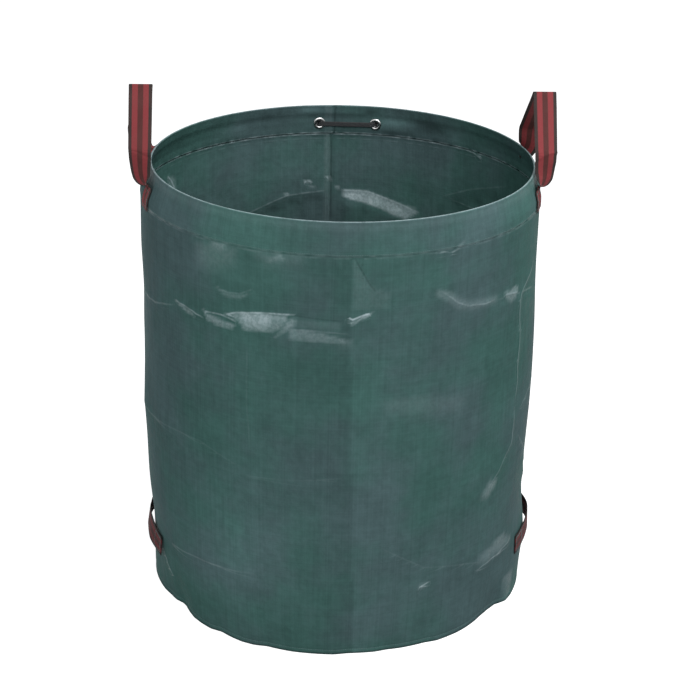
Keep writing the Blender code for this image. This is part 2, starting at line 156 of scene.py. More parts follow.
def white_surround():
    world = bpy.data.worlds.new("studio")
    world.use_nodes = True
    tree = world.node_tree
    tree.nodes.clear()
    out = tree.nodes.new("ShaderNodeOutputWorld")
    lit = tree.nodes.new("ShaderNodeBackground")
    lit.inputs["Color"].default_value = AIR_COLOUR
    lit.inputs["Strength"].default_value = AIR_STRENGTH
    white = tree.nodes.new("ShaderNodeBackground")
    white.inputs["Color"].default_value = (1, 1, 1, 1)
    mix = tree.nodes.new("ShaderNodeMixShader")
    tree.links.new(looked_at(tree), mix.inputs[0])
    tree.links.new(lit.outputs[0], mix.inputs[1])
    tree.links.new(white.outputs[0], mix.inputs[2])
    tree.links.new(mix.outputs[0], out.inputs[0])
    bpy.context.scene.world = world


white_surround()
bpy.context.scene.view_settings.view_transform = "Standard"
print("surround:", AIR_STRENGTH, "bright where it lights the bag")

# %% [markdown]
# ### Floor and lamps
#
# The floor glows for the camera alone, so it turns white, and the bag's soft shadow still shows on
# it. A rectangle lamp is aimed by turning its -Z axis towards what it lights.

# %% Lay the floor and hang the lamps
FLOOR_COLOUR, FLOOR_GLOW, FLOOR_HALF = (0.62, 0.62, 0.62, 1), 0.8, 6
# name, place, what it is aimed at, its two sides in metres, watts, colour
LAMPS = [
    ("high_right_lamp", (1.1, -0.2, 2.9), (0, 0, 0.6), (1.6, 1.2), 38, (1, 1, 1)),
    ("front_lamp", (0.1, -2.6, 2.5), (0, 0, 0.4), (2.2, 1.2), 51, (1, 0.98, 0.98)),
]


def pale_floor():
    material = bpy.data.materials.new("pale_floor")
    material.use_nodes = True
    tree = material.node_tree
    shader = tree.nodes["Principled BSDF"]
    shader.inputs["Base Color"].default_value = FLOOR_COLOUR
    shader.inputs["Roughness"].default_value = 0.9
    shader.inputs["Specular IOR Level"].default_value = 0.0
    dimmed = tree.nodes.new("ShaderNodeMath")
    dimmed.operation = "MULTIPLY"
    dimmed.inputs[1].default_value = FLOOR_GLOW
    tree.links.new(looked_at(tree), dimmed.inputs[0])
    glow = tree.nodes.new("ShaderNodeEmission")
    tree.links.new(dimmed.outputs[0], glow.inputs["Strength"])
    both = tree.nodes.new("ShaderNodeAddShader")
    tree.links.new(shader.outputs[0], both.inputs[0])
    tree.links.new(glow.outputs[0], both.inputs[1])
    tree.links.new(both.outputs[0], tree.nodes["Material Output"].inputs["Surface"])
    mesh = bpy.data.meshes.new("pale_floor")
    with reshaping(mesh) as shape:
        bmesh.ops.create_grid(shape, x_segments=1, y_segments=1, size=FLOOR_HALF)
    mesh.materials.append(material)
    floor = link(mesh, "pale_floor")


def lamp(name, place, target, size, power, colour):
    light = bpy.data.lights.new(name, "AREA")
    light.shape = "RECTANGLE"
    light.size, light.size_y = size
    light.energy = power
    light.color = colour
    holder = bpy.data.objects.new(name, light)
    look = Vector(target) - Vector(place)
    turn = look.to_track_quat("-Z", "Y").to_matrix().to_4x4()
    holder.matrix_world = Matrix.Translation(place) @ turn
    bpy.context.scene.collection.objects.link(holder)


pale_floor()
for row in LAMPS:
    lamp(*row)
    print(row[0], row[4], "W")

# %% [markdown]
# ## The bag's plan
#
# The hoop keeps the rim round. Below it nothing does, so the sheet slumps: it spreads sideways and
# draws in at the front and back, most near the ground. These shares repeat the solids' own, so the
# cloth lies where its solid is, and a smooth curve runs through them.

# %% Say where a point of the bag lies
RIM = 0.335
HEIGHT = 0.840
SLUMP = 0.0265
HEM_FOOT = 0.782
PUCKER_HEIGHT = 0.7803
TUCK_FROM = 0.7818
WALL_TOP = 0.786
SHEET = 0.0004
SPREAD = ((0.0, 0.90), (0.10, 1.0), (0.45, 0.98), (0.64, 0.83), (0.83, 0.60), (0.95, 0.44), (1.0, 0.0))
DRAW_IN = ((0.0, 0.90), (0.10, 1.0), (0.45, 0.98), (0.64, 0.83), (0.83, 0.50), (0.92, 0.0), (1.0, 0.0))


def slump(height, shares):
    places = [share for share, _ in shares]
    amounts = [amount for _, amount in shares]
    return SLUMP * np.interp(np.clip(height / HEIGHT, 0, 1), places, amounts)


def on_bag(radius, turn, height):
    """Points on the slumped bag, from arrays of radius, turn and height."""
    across = 1 + slump(height, SPREAD) / RIM
    deep = 1 - slump(height, DRAW_IN) / RIM
    radius, turn, height = np.broadcast_arrays(radius, turn, height)
    return np.stack([radius * np.cos(turn) * across, radius * np.sin(turn) * deep, height], -1)


def outward(turn, height):
    """The level direction straight out of the bag's side."""
    across = 1 + slump(height, SPREAD) / RIM
    deep = 1 - slump(height, DRAW_IN) / RIM
    out = np.stack(np.broadcast_arrays(np.cos(turn) * deep, np.sin(turn) * across, 0 * height), -1)
    return out / np.linalg.norm(out, axis=-1, keepdims=True)


print("base is", np.round(2 * on_bag(RIM, np.array([0.0, math.pi / 2]), 0.0).max(0)[:2], 3), "m across")

# %% [markdown]
# ## Creases and dents
#
# Laminated sheet remembers how it was folded in its packet. A fold leaves a sharp line that stands
# proud, a shelf is a line under which the sheet leans out and catches the light, and a tuck sinks
# in. Each crease is a line through a few places, given as (degrees round the bag, height), with how
# far it stands out in millimetres, how wide it is, and how pale its line is, or below 0 how dark. A
# pale line is partly coating whitened along the crease and partly a painted highlight, and a dark
# line is a painted shadow in the crease. A facet is a flat between creases with a painted highlight,
# and a tone is a broad patch of painted light above 0 and of painted shade below it. The hem's own
# tones lie on its inner layer.

# %% List the creases, the shining facets and the tones
FOLD, SHELF = "fold", "shelf"
CREASES = [
    # front, the level line left by the packet
    (SHELF, 4.5, 18, 0.55, [(-125.5, 0.650), (-121, 0.662), (-113, 0.671), (-102, 0.676)]),
    (SHELF, 3.2, 18, 0.10, [(-108, 0.650), (-98, 0.649), (-89.5, 0.646)]),
    (SHELF, 3.4, 13, 0.40, [(-132, 0.649), (-126, 0.652), (-120, 0.647)]),
    (FOLD, 2.4, 7, 0.35, [(-143.5, 0.650), (-138, 0.646), (-131.5, 0.636)]),
    (FOLD, 2.2, 18, 0.10, [(-168, 0.612), (-155, 0.620), (-143, 0.640)]),
    (SHELF, 1.8, 7, 0.10, [(-127, 0.698), (-123.2, 0.695), (-119.5, 0.698), (-115.5, 0.712)]),
    (SHELF, 3.0, 8, 0.80, [(-90.4, 0.677), (-89, 0.672), (-86.4, 0.679), (-84.2, 0.683)]),
    # A dark line of painted shadow along a crease.
    (FOLD, 0.0, 4, -0.32, [(-106, 0.6745), (-99, 0.6715), (-91.6, 0.6690)]),
    (SHELF, 1.4, 16, 0.00, [(-84, 0.680), (-76, 0.678), (-66, 0.682)]),
    (FOLD, 2.4, 9, 0.22, [(-65, 0.710), (-62.5, 0.698), (-59.5, 0.682), (-56, 0.672), (-50, 0.667),
                          (-44.6, 0.667)]),
    (FOLD, 2.0, 7, 0.30, [(-42, 0.668), (-38.2, 0.665), (-34, 0.660)]),
    (SHELF, 1.8, 14, 0.10, [(-45, 0.665), (-32, 0.655), (-20, 0.640)]),
    # Pale dashes of painted highlight along the hem's foot.
    (FOLD, 0.5, 4, 0.30, [(-66.4, 0.7790), (-65, 0.7803), (-63.6, 0.7790)]),
    (FOLD, 0.5, 4, 0.35, [(-63, 0.7755), (-61.4, 0.7780), (-60, 0.7812)]),
    # the upright fold down the front, and others like it
    (FOLD, 3.4, 44, 0.00, [(-89.8, 0.786), (-89.2, 0.678), (-88.8, 0.524), (-88, 0.328), (-87, 0.120),
                           (-87, 0.010)]),
    # A dark diagonal line of painted shadow down a crease.
    (FOLD, 1.6, 9, -0.50, [(-89.2, 0.784), (-84.8, 0.734), (-82.8, 0.718)]),
    (FOLD, 1.4, 9, 0.04, [(-117.3, 0.608), (-117.3, 0.504), (-116.2, 0.414)]),
    # left side
    (FOLD, 4.0, 28, 0.06, [(-176, 0.392), (-162, 0.384), (-145, 0.394), (-133, 0.400), (-117.3, 0.370)]),
    (FOLD, 1.2, 20, 0.05, [(-118, 0.358), (-104, 0.362), (-90, 0.372)]),
    (FOLD, 3.0, 18, 0.16, [(-150, 0.140), (-139.5, 0.148), (-126, 0.151), (-115, 0.156)]),
    (FOLD, -2.2, 8, 0.00, [(-140, 0.044), (-131, 0.050), (-120, 0.060)]),
    (FOLD, 2.0, 8, 0.28, [(-159.5, 0.112), (-155, 0.088), (-150.5, 0.058)]),
    # right side
    (FOLD, 2.8, 9, 0.18, [(-20, 0.690), (-30.8, 0.656), (-33.2, 0.642), (-30.8, 0.580), (-31, 0.522),
                          (-31, 0.442)]),
    (FOLD, 2.6, 10, 0.14, [(-31.5, 0.430), (-32, 0.362), (-39, 0.318), (-46, 0.280)]),
    (FOLD, 2.0, 8, 0.10, [(-12, 0.445), (-20, 0.436), (-28, 0.416)]),
    (FOLD, 3.0, 10, 0.12, [(-27, 0.362), (-17, 0.290), (-8, 0.205)]),
    (FOLD, 3.0, 11, 0.32, [(-47, 0.118), (-43.5, 0.126), (-34, 0.133), (-26, 0.139)]),
    # A thin pale line of painted highlight.
    (FOLD, 2.0, 4, 0.60, [(-68.2, 0.1255), (-66.6, 0.1305), (-65, 0.1345), (-63.6, 0.1360)]),
    (FOLD, 2.0, 18, 0.08, [(-80, 0.230), (-66, 0.170), (-52, 0.150), (-40, 0.128)]),
    # inside, at the back
    (SHELF, 5.0, 26, 0.24, [(120, 0.632), (114.5, 0.642), (105.8, 0.660), (98.3, 0.664), (91.8, 0.668)]),
    (SHELF, -8.0, 34, 0.30, [(90, 0.667), (87, 0.668), (79, 0.667), (68, 0.647), (61.8, 0.634)]),
    # A dark line of painted shadow under the step of the lapped end.
    (FOLD, 0.0, 4, -0.75, [(91.25, 0.786), (91.25, 0.590)]),
    (SHELF, 4.0, 30, 0.10, [(54, 0.676), (42, 0.706), (24, 0.740)]),
    (FOLD, 2.2, 6, 0.45, [(100.6, 0.683), (99, 0.688), (97.2, 0.684)]),
    (FOLD, 2.0, 6, 0.40, [(93.2, 0.698), (92, 0.691), (90.8, 0.695)]),
    (FOLD, 2.0, 5, 0.55, [(155.6, 0.756), (153, 0.742), (151, 0.722)]),
    (FOLD, 1.8, 6, 0.55, [(45, 0.781), (41, 0.779), (37, 0.770)]),
    # outside, at the back and sides
    (FOLD, 2.6, 40, 0.06, [(91, 0.640), (92, 0.400), (92, 0.120)]),
    (FOLD, 2.2, 34, 0.05, [(2, 0.760), (3, 0.520), (1, 0.300), (2, 0.150)]),
    (FOLD, 2.2, 34, 0.05, [(179, 0.760), (181, 0.520), (180, 0.300), (178, 0.150)]),
    (SHELF, 3.2, 22, 0.15, [(10, 0.672), (30, 0.660), (52, 0.676)]),
    (FOLD, 3.4, 22, 0.12, [(20, 0.352), (44, 0.366), (70, 0.350)]),
    (FOLD, 3.0, 24, 0.10, [(108, 0.372), (130, 0.352), (158, 0.372), (176, 0.385)]),
    (FOLD, 2.4, 14, 0.15, [(120, 0.500), (134, 0.440), (140, 0.372)]),
    (FOLD, 2.4, 12, 0.12, [(60, 0.350), (52, 0.250), (58, 0.150)]),
    (FOLD, 2.6, 18, 0.12, [(112, 0.140), (134, 0.156), (160, 0.142)]),
    (FOLD, 2.2, 14, 0.12, [(24, 0.150), (44, 0.134), (66, 0.150)]),
    (FOLD, -2.0, 8, 0.00, [(70, 0.052), (84, 0.044), (98, 0.056)]),
]
# Facets: flats that mirror the lamp, given a painted highlight and a little more gloss.
# strength, softness of the upper edge in millimetres, corners
HIGHLIGHT_FACETS = [
    (0.50, 2, [(-124.6, 0.655), (-121, 0.6625), (-113, 0.6705), (-106.2, 0.6725), (-106.4, 0.662),
               (-107.6, 0.650),
               (-110, 0.640), (-118, 0.634), (-119.6, 0.650)]),
    (0.50, 6, [(-119.5, 0.663), (-111, 0.670), (-110.5, 0.655), (-113, 0.643), (-118, 0.642)]),
    (0.45, 3, [(-105.2, 0.668), (-104, 0.667), (-104.2, 0.655), (-109.4, 0.630), (-108.6, 0.637)]),
    (0.50, 2, [(-131.8, 0.652), (-130, 0.646), (-120.8, 0.641), (-121.6, 0.632), (-126, 0.630),
               (-130, 0.636)]),
    (0.40, 2, [(-143.6, 0.649), (-140, 0.646), (-136, 0.640), (-134.6, 0.632), (-138, 0.636)]),
    (0.30, 2, [(-105.4, 0.650), (-98.8, 0.648), (-91.5, 0.638), (-90.3, 0.630), (-92.5, 0.629),
               (-99, 0.630), (-105, 0.632)]),
    (0.35, 7, [(-128.2, 0.779), (-124.4, 0.781), (-124.8, 0.773), (-128.2, 0.772)]),
    (0.40, 5, [(-112, 0.772), (-110, 0.774), (-108, 0.780), (-107.4, 0.774), (-111, 0.767)]),
    (0.16, 16, [(-134, 0.768), (-127, 0.780), (-120.5, 0.778), (-121.5, 0.750), (-129.5, 0.727),
                (-133.5, 0.735)]),
    (0.12, 14, [(-116, 0.780), (-102, 0.782), (-103, 0.766), (-112, 0.756)]),
    (0.08, 2, [(-104.4, 0.668), (-92, 0.664), (-92, 0.652), (-99, 0.652), (-104.6, 0.655)]),
    (0.32, 4, [(-127.2, 0.7005), (-123.2, 0.694), (-119.5, 0.695), (-116.5, 0.702), (-119.5, 0.690),
               (-123.4, 0.687)]),
    (0.75, 2, [(-90.2, 0.672), (-88.4, 0.670), (-86, 0.680), (-84, 0.684), (-84.2, 0.679),
               (-87, 0.672), (-89, 0.664)]),
    (0.14, 8, [(-92, 0.636), (-89, 0.636), (-89, 0.622), (-92, 0.622)]),
    (0.11, 3, [(-89.0, 0.778), (-84.8, 0.734), (-79.6, 0.716), (-79.6, 0.690), (-84, 0.690),
               (-89, 0.690)]),
    (0.26, 7, [(-66, 0.713), (-62, 0.704), (-58.5, 0.686), (-55, 0.678), (-45.3, 0.673), (-45, 0.662),
               (-54, 0.664),
               (-59, 0.670), (-63, 0.690), (-66.4, 0.702)]),
    (0.34, 4, [(-41.4, 0.674), (-38.4, 0.670), (-36, 0.674), (-34, 0.668), (-35.2, 0.652),
               (-37.6, 0.648), (-40.2, 0.658)]),
    (0.26, 2, [(-68, 0.1290), (-66, 0.1350), (-63.6, 0.1375), (-63.4, 0.1330), (-65.4, 0.1300),
               (-67.4, 0.1235)]),
    (0.10, 16, [(-80, 0.516), (-70, 0.520), (-55.5, 0.498), (-57, 0.476), (-70, 0.482), (-79, 0.498)]),
    (0.20, 6, [(-27, 0.140), (-43.5, 0.129), (-46.5, 0.146), (-34.2, 0.168)]),
    (0.25, 5, [(-43, 0.308), (-39, 0.296), (-44, 0.270), (-47, 0.282)]),
    (0.12, 6, [(-30, 0.060), (-23, 0.050), (-25, 0.004), (-29, 0.004)]),
    (0.90, 3, [(87.2, 0.669), (79, 0.668), (68, 0.648), (61.6, 0.635), (66.2, 0.617), (77.5, 0.641),
               (87.2, 0.655)]),
    (0.30, 2, [(65.8, 0.648), (62.4, 0.644), (62.6, 0.638), (65.4, 0.640)]),
    (0.40, 2, [(100.2, 0.690), (97.8, 0.689), (98, 0.682), (100, 0.682)]),
    (0.35, 2, [(98.6, 0.679), (96.4, 0.679), (96.6, 0.673), (98.2, 0.673)]),
    (0.40, 2, [(93.2, 0.697), (91.2, 0.696), (91, 0.688), (92.6, 0.688)]),
    (0.50, 2, [(106.8, 0.665), (105.2, 0.666), (105.4, 0.660), (106.6, 0.659)]),
    (0.40, 2, [(90, 0.679), (88.2, 0.678), (88.4, 0.670), (89.8, 0.670)]),
    (0.30, 4, [(155.6, 0.754), (151.2, 0.746), (150.6, 0.722), (155, 0.726)]),
    (0.12, 2, [(91.6, 0.782), (93.6, 0.782), (93.6, 0.560), (91.6, 0.560)]),
]
# Painted light and shade: broad patches, lighter above 0 and darker below.
# amount, degrees round the bag, height, and how far it reaches each way
LIGHT_AND_SHADE_PATCHES = [
    (-0.22, 108, 0.622, 24, 0.036),
    (-0.28, 60, 0.585, 20, 0.030),
    (0.10, -158, 0.060, 20, 0.070),
    (-0.05, -112, 0.686, 14, 0.012),
    (0.28, -124, 0.200, 22, 0.120),
    (0.15, -116, 0.735, 18, 0.028),
    (0.14, -66, 0.735, 18, 0.028),
    (-0.12, -6, 0.520, 12, 0.300),
    (0.14, -172, 0.480, 12, 0.300),
    (-0.08, -79, 0.758, 6, 0.024),
]
# Painted light and shade on the hem's inner layer.
HEM_LIGHT_AND_SHADE_PATCHES = [
    (0.80, 70, 0.811, 6, 0.010),
    (-0.42, 78, 0.828, 2.6, 0.006),
    (-0.45, 70, 0.790, 6, 0.006),
    (0.70, 98.5, 0.832, 3.5, 0.005),
    (-0.28, 113, 0.826, 8, 0.008),
    (-0.32, 56, 0.812, 5, 0.012),
    (0.36, 126, 0.806, 7, 0.010),
    (0.30, 47, 0.800, 4, 0.010),
    (-0.16, 128, 0.814, 18, 0.030),
    (-0.20, 61, 0.820, 9, 0.020),
]
print(len(CREASES), "creases,", len(HIGHLIGHT_FACETS), "facets")

# %% [markdown]
# ### From lines to a surface
#
# For every point of the sheet, this finds the nearest place on each line. The distance goes
# through a profile: a fold rises to a sharp edge, and a shelf leans out just under its line. Both
# fade towards the line's ends. The signed distance to the nearest pale line is kept too: it runs
# smoothly through the mesh, so the shader can draw a line finer than the mesh's own faces.

# %% Measure the way to a line
MARK_REACH = 0.009


def ease(share):
    """A share from 0 to 1 that starts and ends softly."""
    return share * share * (3 - 2 * share)


def bell(off, wide):
    """1 in the middle, falling away to both sides."""
    return np.exp(-((off / wide) ** 2))


def unwrapped(turn, middle):
    """The turn counted from the far side of middle, so that no line is cut where the circle joins."""
    return (turn - middle + math.pi) % (2 * math.pi) - math.pi + middle


def to_segment(x, y, start, end):
    """Distance to a segment, the signed distance to its line (positive above) and the share along it."""
    dx, dy = end[0] - start[0], end[1] - start[1]
    length = math.hypot(dx, dy)
    dx, dy = dx / length, dy / length
    share = np.clip(((x - start[0]) * dx + (y - start[1]) * dy) / length, 0, 1)
    distance = np.hypot(x - start[0] - share * length * dx, y - start[1] - share * length * dy)
    side = (dx * (y - start[1]) - dy * (x - start[0])) * (1 if dx >= 0 else -1)
    return distance, side, share, length


def along_line(turn, height, line):
    """Nearest distance to a line, with its sign positive above, and how far along it lies, 0 to 1."""
    points = [(math.radians(turned) * RIM, up) for turned, up in line]
    around = unwrapped(turn, math.radians(sum(angle for angle, _ in line) / len(line)))
    nearest = np.full(turn.shape, np.inf)
    side, along, gone = np.zeros(turn.shape), np.zeros(turn.shape), 0.0
    for start, end in zip(points, points[1:]):
        distance, over, share, length = to_segment(around * RIM, height, start, end)
        closer = distance < nearest
        nearest = np.where(closer, distance, nearest)
        side = np.where(closer, over, side)
        along = np.where(closer, gone + share * length, along)
        gone += length
    return nearest, side, along / gone


print("a pale line reaches", MARK_REACH * 1000, "mm to each side")

# %% [markdown]
# ### Creases, facets and tones
#
# The fields below turn the three lists into numbers at every point of the sheet: how far it stands
# out, the pale or dark line next to it, how much painted highlight it gets, and how much painted
# light and shade make it lighter or darker.

# %% Turn the lists into fields
def crease_field(turn, height):
    """How far the sheet stands out, and the pale lines: the signed distance to one and its strength."""
    stands, mark_gain = np.zeros(turn.shape), np.zeros(turn.shape)
    mark_side = np.full(turn.shape, MARK_REACH)
    for kind, rise, width, pale, line in CREASES:
        distance, side, along = along_line(turn, height, line)
        rise, width = rise / 1000, width / 1000
        fade = np.clip(8.8 * along * (1 - along), 0, 1)
        wobble = 0.75 + 0.25 * np.sin(along * 23 + rise * 9000)
        if kind == FOLD:
            profile = np.exp(-distance / width)
        else:
            down = np.clip(-side, 0, None)
            lean = ease(np.clip(down / width, 0, 1))
            profile = lean * np.exp(-np.clip(down - width, 0, None) / (2.2 * width))
            profile = profile * bell(np.clip(distance - np.abs(side), 0, None), width)
        stands += rise * profile * fade * wobble
        gain = pale * fade * near_mark(distance)
        best = np.abs(gain) > np.abs(mark_gain)
        mark_side = np.where(best, np.copysign(distance, side), mark_side)
        mark_gain = np.where(best, gain, mark_gain)
    return stands, mark_side, mark_gain


def painted_highlight_field(turn, height):
    """How much painted highlight each point gets, 0 to 1; it also makes the sheet a little glossier. A facet
    is crisp along its upper edge and fades downwards.
    """
    painted_highlight_and_gloss = np.zeros(turn.shape)
    for gain, soft, corners in HIGHLIGHT_FACETS:
        points = [(math.radians(turned) * RIM, up) for turned, up in corners]
        x = unwrapped(turn, math.radians(corners[0][0])) * RIM
        inside, nearest = np.zeros(turn.shape, bool), np.full(turn.shape, np.inf)
        for (ax, ay), (bx, by) in zip(points, points[1:] + points[:1]):
            nearest = np.minimum(nearest, to_segment(x, height, (ax, ay), (bx, by))[0])
            if ay != by:
                crossing = (bx - ax) * (height - ay) / (by - ay) + ax
                inside ^= ((ay > height) != (by > height)) & (x < crossing)
        top, bottom = max(up for _, up in corners), min(up for _, up in corners)
        down = np.clip((top - height) / (top - bottom), 0, 1)
        reach = soft / 1000 * (1 + 1.5 * down)
        edge = np.clip(np.where(inside, nearest, -nearest) / reach + 0.5, 0, 1)
        painted_highlight_and_gloss += gain * ease(edge) * (1 - 0.4 * down)
    return np.clip(painted_highlight_and_gloss, 0, 1)


def patches_of(turn, height, tones):
    """The sum of soft oval patches."""
    total = np.zeros(turn.shape)
    for amount, angle, level, wide, tall in tones:
        degrees = np.degrees(unwrapped(turn, math.radians(angle))) - angle
        total += amount * bell(degrees, wide) * bell(height - level, tall)
    return total


def painted_light_shade_and_seam(turn, height):
    """Painted light and shade: the patches; the panels beside the front fold, lit on the right and in shade
    on the left; and the dark foot, partly its sewn seam and partly a painted contact shadow.
    """
    tone = patches_of(turn, height, LIGHT_AND_SHADE_PATCHES)
    # Painted light on the right of the front fold and painted shade on its left.
    off_fold = np.degrees(unwrapped(turn, -math.pi / 2)) + 89.4 - 2.4 * np.clip((0.7 - height) / 0.6, 0, 1)
    panels = np.where(off_fold > 0, bell(off_fold, 12), -bell(off_fold, 15))
    fold = 0.09 * panels * np.clip((0.785 - height) / 0.01, 0, 1)
    # The dark foot: partly the sewn seam, partly a painted contact shadow.
    return tone + fold - 0.42 * np.clip((0.0048 - height) / 0.003, 0, 1)


print("the tones reach from", min(row[0] for row in LIGHT_AND_SHADE_PATCHES), "to", max(row[0] for row in LIGHT_AND_SHADE_PATCHES))

# %% [markdown]
# ### The sheet as a whole
#
# Soft dents come from a sum of waves. They are whole waves round the bag, so they join up at the
# back. Together with the creases they are how far the sheet stands off its plan, and what is sewn
# to it uses the same sum, so that nothing floats or sinks in.

# %% Add the dents and gather the marks
def slow_waves(turn, height, seed, count, size, around_most, up_most):
    """Soft dents: a sum of waves that join up round the bag."""
    dice = np.random.default_rng(seed)
    total = np.zeros(turn.shape)
    for _ in range(count):
        lobes = int(dice.integers(1, around_most + 1))
        up = dice.uniform(-up_most, up_most)
        total += dice.uniform(0.3, 1) * np.sin(lobes * turn + up * height + dice.uniform(0, 2 * math.pi))
    return size * total / math.sqrt(count)


def sheet_offset(turn, height):
    """The whole of how far the sheet stands off its plan."""
    stands = crease_field(turn, height)[0] * np.clip((HEM_FOOT - 0.002 - height) / 0.03, 0, 1)
    free = np.clip((HEIGHT - 0.055 - height) / 0.12, 0, 1) * np.clip(height / 0.06, 0.35, 1)
    waves = slow_waves(turn, height, 11, 26, 0.0016, 7, 16) + slow_waves(turn, height, 5, 30, 0.0005, 24, 46)
    return stands + waves * free


def puckers(turn):
    """Uneven gathers between the stitches, from -1 to 1."""
    return np.sin(turn * 61 + 2 * np.sin(turn * 17))


def near_mark(side):
    """1 on a pale line and 0 where its reach ends."""
    return np.clip(1 - np.abs(side) / MARK_REACH, 0, 1)


def sheet_marks(turn, height):
    """What the sheet's shader reads. Just under the hem a pale puckered line of painted light is added over
    the hem's shade, faint at the front.
    """
    _, side, gain = crease_field(turn, height)
    below = height - PUCKER_HEIGHT
    # Painted light: pale puckers over the shade under the hem's foot, strongest at the back.
    pucker = (0.6 + 0.4 * puckers(turn)) * near_mark(below)
    pucker = pucker * (0.10 + 0.75 * np.clip(np.sin(turn), 0, 1))
    best = pucker > np.abs(gain)
    return {
        "mark_side": np.where(best, below, side),
        "mark_gain": np.where(best, pucker, gain),
        "painted_highlight_and_gloss": painted_highlight_field(turn, height),
        "tone": painted_light_shade_and_seam(turn, height),
    }


print("puckered line at", PUCKER_HEIGHT, "m")

# %% [markdown]
# ## Sheets from grids
#
# A sheet is a grid of points. Each grid also carries a UV map measured in metres along the cloth,
# so the weave keeps its real size wherever the sheet bends, and the marks that its shader reads.
# Solidify then gives the sheet its thickness, half of it to each side.

# %% Define the grid and what finishes it
def grid_piece(name, points, cloth, around=None, marks=None):
    """A sheet through a grid of points; around is the cloth's length where its ends meet in a ring."""
    columns, rows = points.shape[:2]
    cell = np.arange(columns * rows).reshape(columns, rows)
    faces = []
    for i in range(columns - 1 if around is None else columns):
        a, b = cell[i], cell[(i + 1) % columns]
        faces.append(np.stack([a[:-1], b[:-1], b[1:], a[1:]], -1))
    faces = np.concatenate(faces)
    mesh = bpy.data.meshes.new(name)
    mesh.from_pydata(points.reshape(-1, 3).tolist(), [], faces.tolist())
    flat = cloth.reshape(-1, 2)[faces]
    if around:
        flat[1 - rows :, 1:3, 0] += around
    layer = mesh.uv_layers.new(name="cloth")
    layer.data.foreach_set("uv", flat.astype(np.float32).ravel())
    for label, values in (marks or {}).items():
        mark = mesh.attributes.new(label, "FLOAT", "POINT")
        mark.data.foreach_set("value", np.broadcast_to(values, points.shape[:2]).astype(np.float32).ravel())
    smooth_faces(mesh)
    return link(mesh, name)


def face_out(piece):
    """Turns a sheet's faces away from the bag's middle."""
    mesh = piece.data
    if sum(p.normal.xy.dot(p.center.xy) * p.area for p in mesh.polygons) < 0:
        mesh.flip_normals()


def smooth_faces(mesh):
    mesh.polygons.foreach_set("use_smooth", np.ones(len(mesh.polygons), bool))
    mesh.update()


def bake_modifiers(piece):
    """Replaces a piece's mesh with what its modifiers make of it."""
    bpy.context.view_layer.update()
    graph = bpy.context.evaluated_depsgraph_get()
    done = piece.evaluated_get(graph)
    made = bpy.data.meshes.new_from_object(done, preserve_all_data_layers=True, depsgraph=graph)
    piece.modifiers.clear()
    piece.data = made
    made.name = piece.name
    return piece


def thicken(piece, thickness):
    wall = piece.modifiers.new("thickness", "SOLIDIFY")
    wall.thickness = thickness
    wall.offset = 0.0
    wall.use_even_offset = True
    wall.use_quality_normals = True
    return bake_modifiers(piece)


print("sheet:", SHEET * 1000, "mm thick")

# %% [markdown]
# ## Finishes
#
# Each finish is a Principled shader. Patterns that several finishes share, such as the mottled wear
# of plastic cloth, are node groups with named inputs. A group gives out only values and colours, and
# anything that is the same all over a surface is set on the shader's own socket.

# %% Write small helpers for node trees
def value_of(tree, socket, given):
    if isinstance(given, bpy.types.NodeSocket):
        tree.links.new(given, socket)
    else:
        socket.default_value = given


def calc(tree, operation, first, second=None):
    node = tree.nodes.new("ShaderNodeMath")
    node.operation = operation
    for socket, given in zip(node.inputs, (first, second)):
        if given is not None:
            value_of(tree, socket, given)
    return node.outputs[0]


def times(tree, first, second):
    return calc(tree, "MULTIPLY", first, second)


def plus(tree, first, second):
    return calc(tree, "ADD", first, second)


def mixed(tree, first, second, share):
    """Two heights or shades added up, share of them from the first."""
    return plus(tree, times(tree, first, share), times(tree, second, 1 - share))


def blend_colours(tree, share, first, second, mode="MIX"):
    node = tree.nodes.new("ShaderNodeMix")
    node.data_type = "RGBA"
    node.blend_type = mode
    value_of(tree, node.inputs["Factor"], share)
    value_of(tree, node.inputs[6], first)
    value_of(tree, node.inputs[7], second)
    return node.outputs[2]


def noise(tree, place, scale, detail=3.0, rough=0.5):
    node = tree.nodes.new("ShaderNodeTexNoise")
    for label, given in (("Vector", place), ("Scale", scale), ("Detail", detail), ("Roughness", rough)):
        value_of(tree, node.inputs[label], given)
    return node.outputs[0]


def spread(tree, value, low, high, out_low=0.0, out_high=1.0):
    node = tree.nodes.new("ShaderNodeMapRange")
    node.interpolation_type = "SMOOTHSTEP"
    tree.links.new(value, node.inputs["Value"])
    for name, amount in (("From Min", low), ("From Max", high), ("To Min", out_low), ("To Max", out_high)):
        node.inputs[name].default_value = amount
    return node.outputs["Result"]


def group_of(name, inputs, outputs):
    tree = bpy.data.node_groups.new(name, "ShaderNodeTree")
    for label, kind, default in inputs:
        socket = tree.interface.new_socket(label, in_out="INPUT", socket_type=kind)
        if default is not None:
            socket.default_value = default
    for label, kind in outputs:
        tree.interface.new_socket(label, in_out="OUTPUT", socket_type=kind)
    return tree, tree.nodes.new("NodeGroupInput").outputs, tree.nodes.new("NodeGroupOutput").inputs


def use_group(tree, group, **given):
    node = tree.nodes.new("ShaderNodeGroup")
    node.node_tree = group
    for label, value in given.items():
        value_of(tree, node.inputs[label], value)
    return node.outputs


print("spread gives 0 to 1 unless told otherwise")

# %% [markdown]
# ### The weave
#
# The sheet is woven from flat plastic tapes about two millimetres wide and then coated. Over and
# under is a chequer: on one square the upright tape lies on top, on the next the level one. Every
# tape also has its own shade, which gives the cloth its faint upright and level streaks.

# %% Build the weave group
TAPE = 0.0022
APART = 517.0


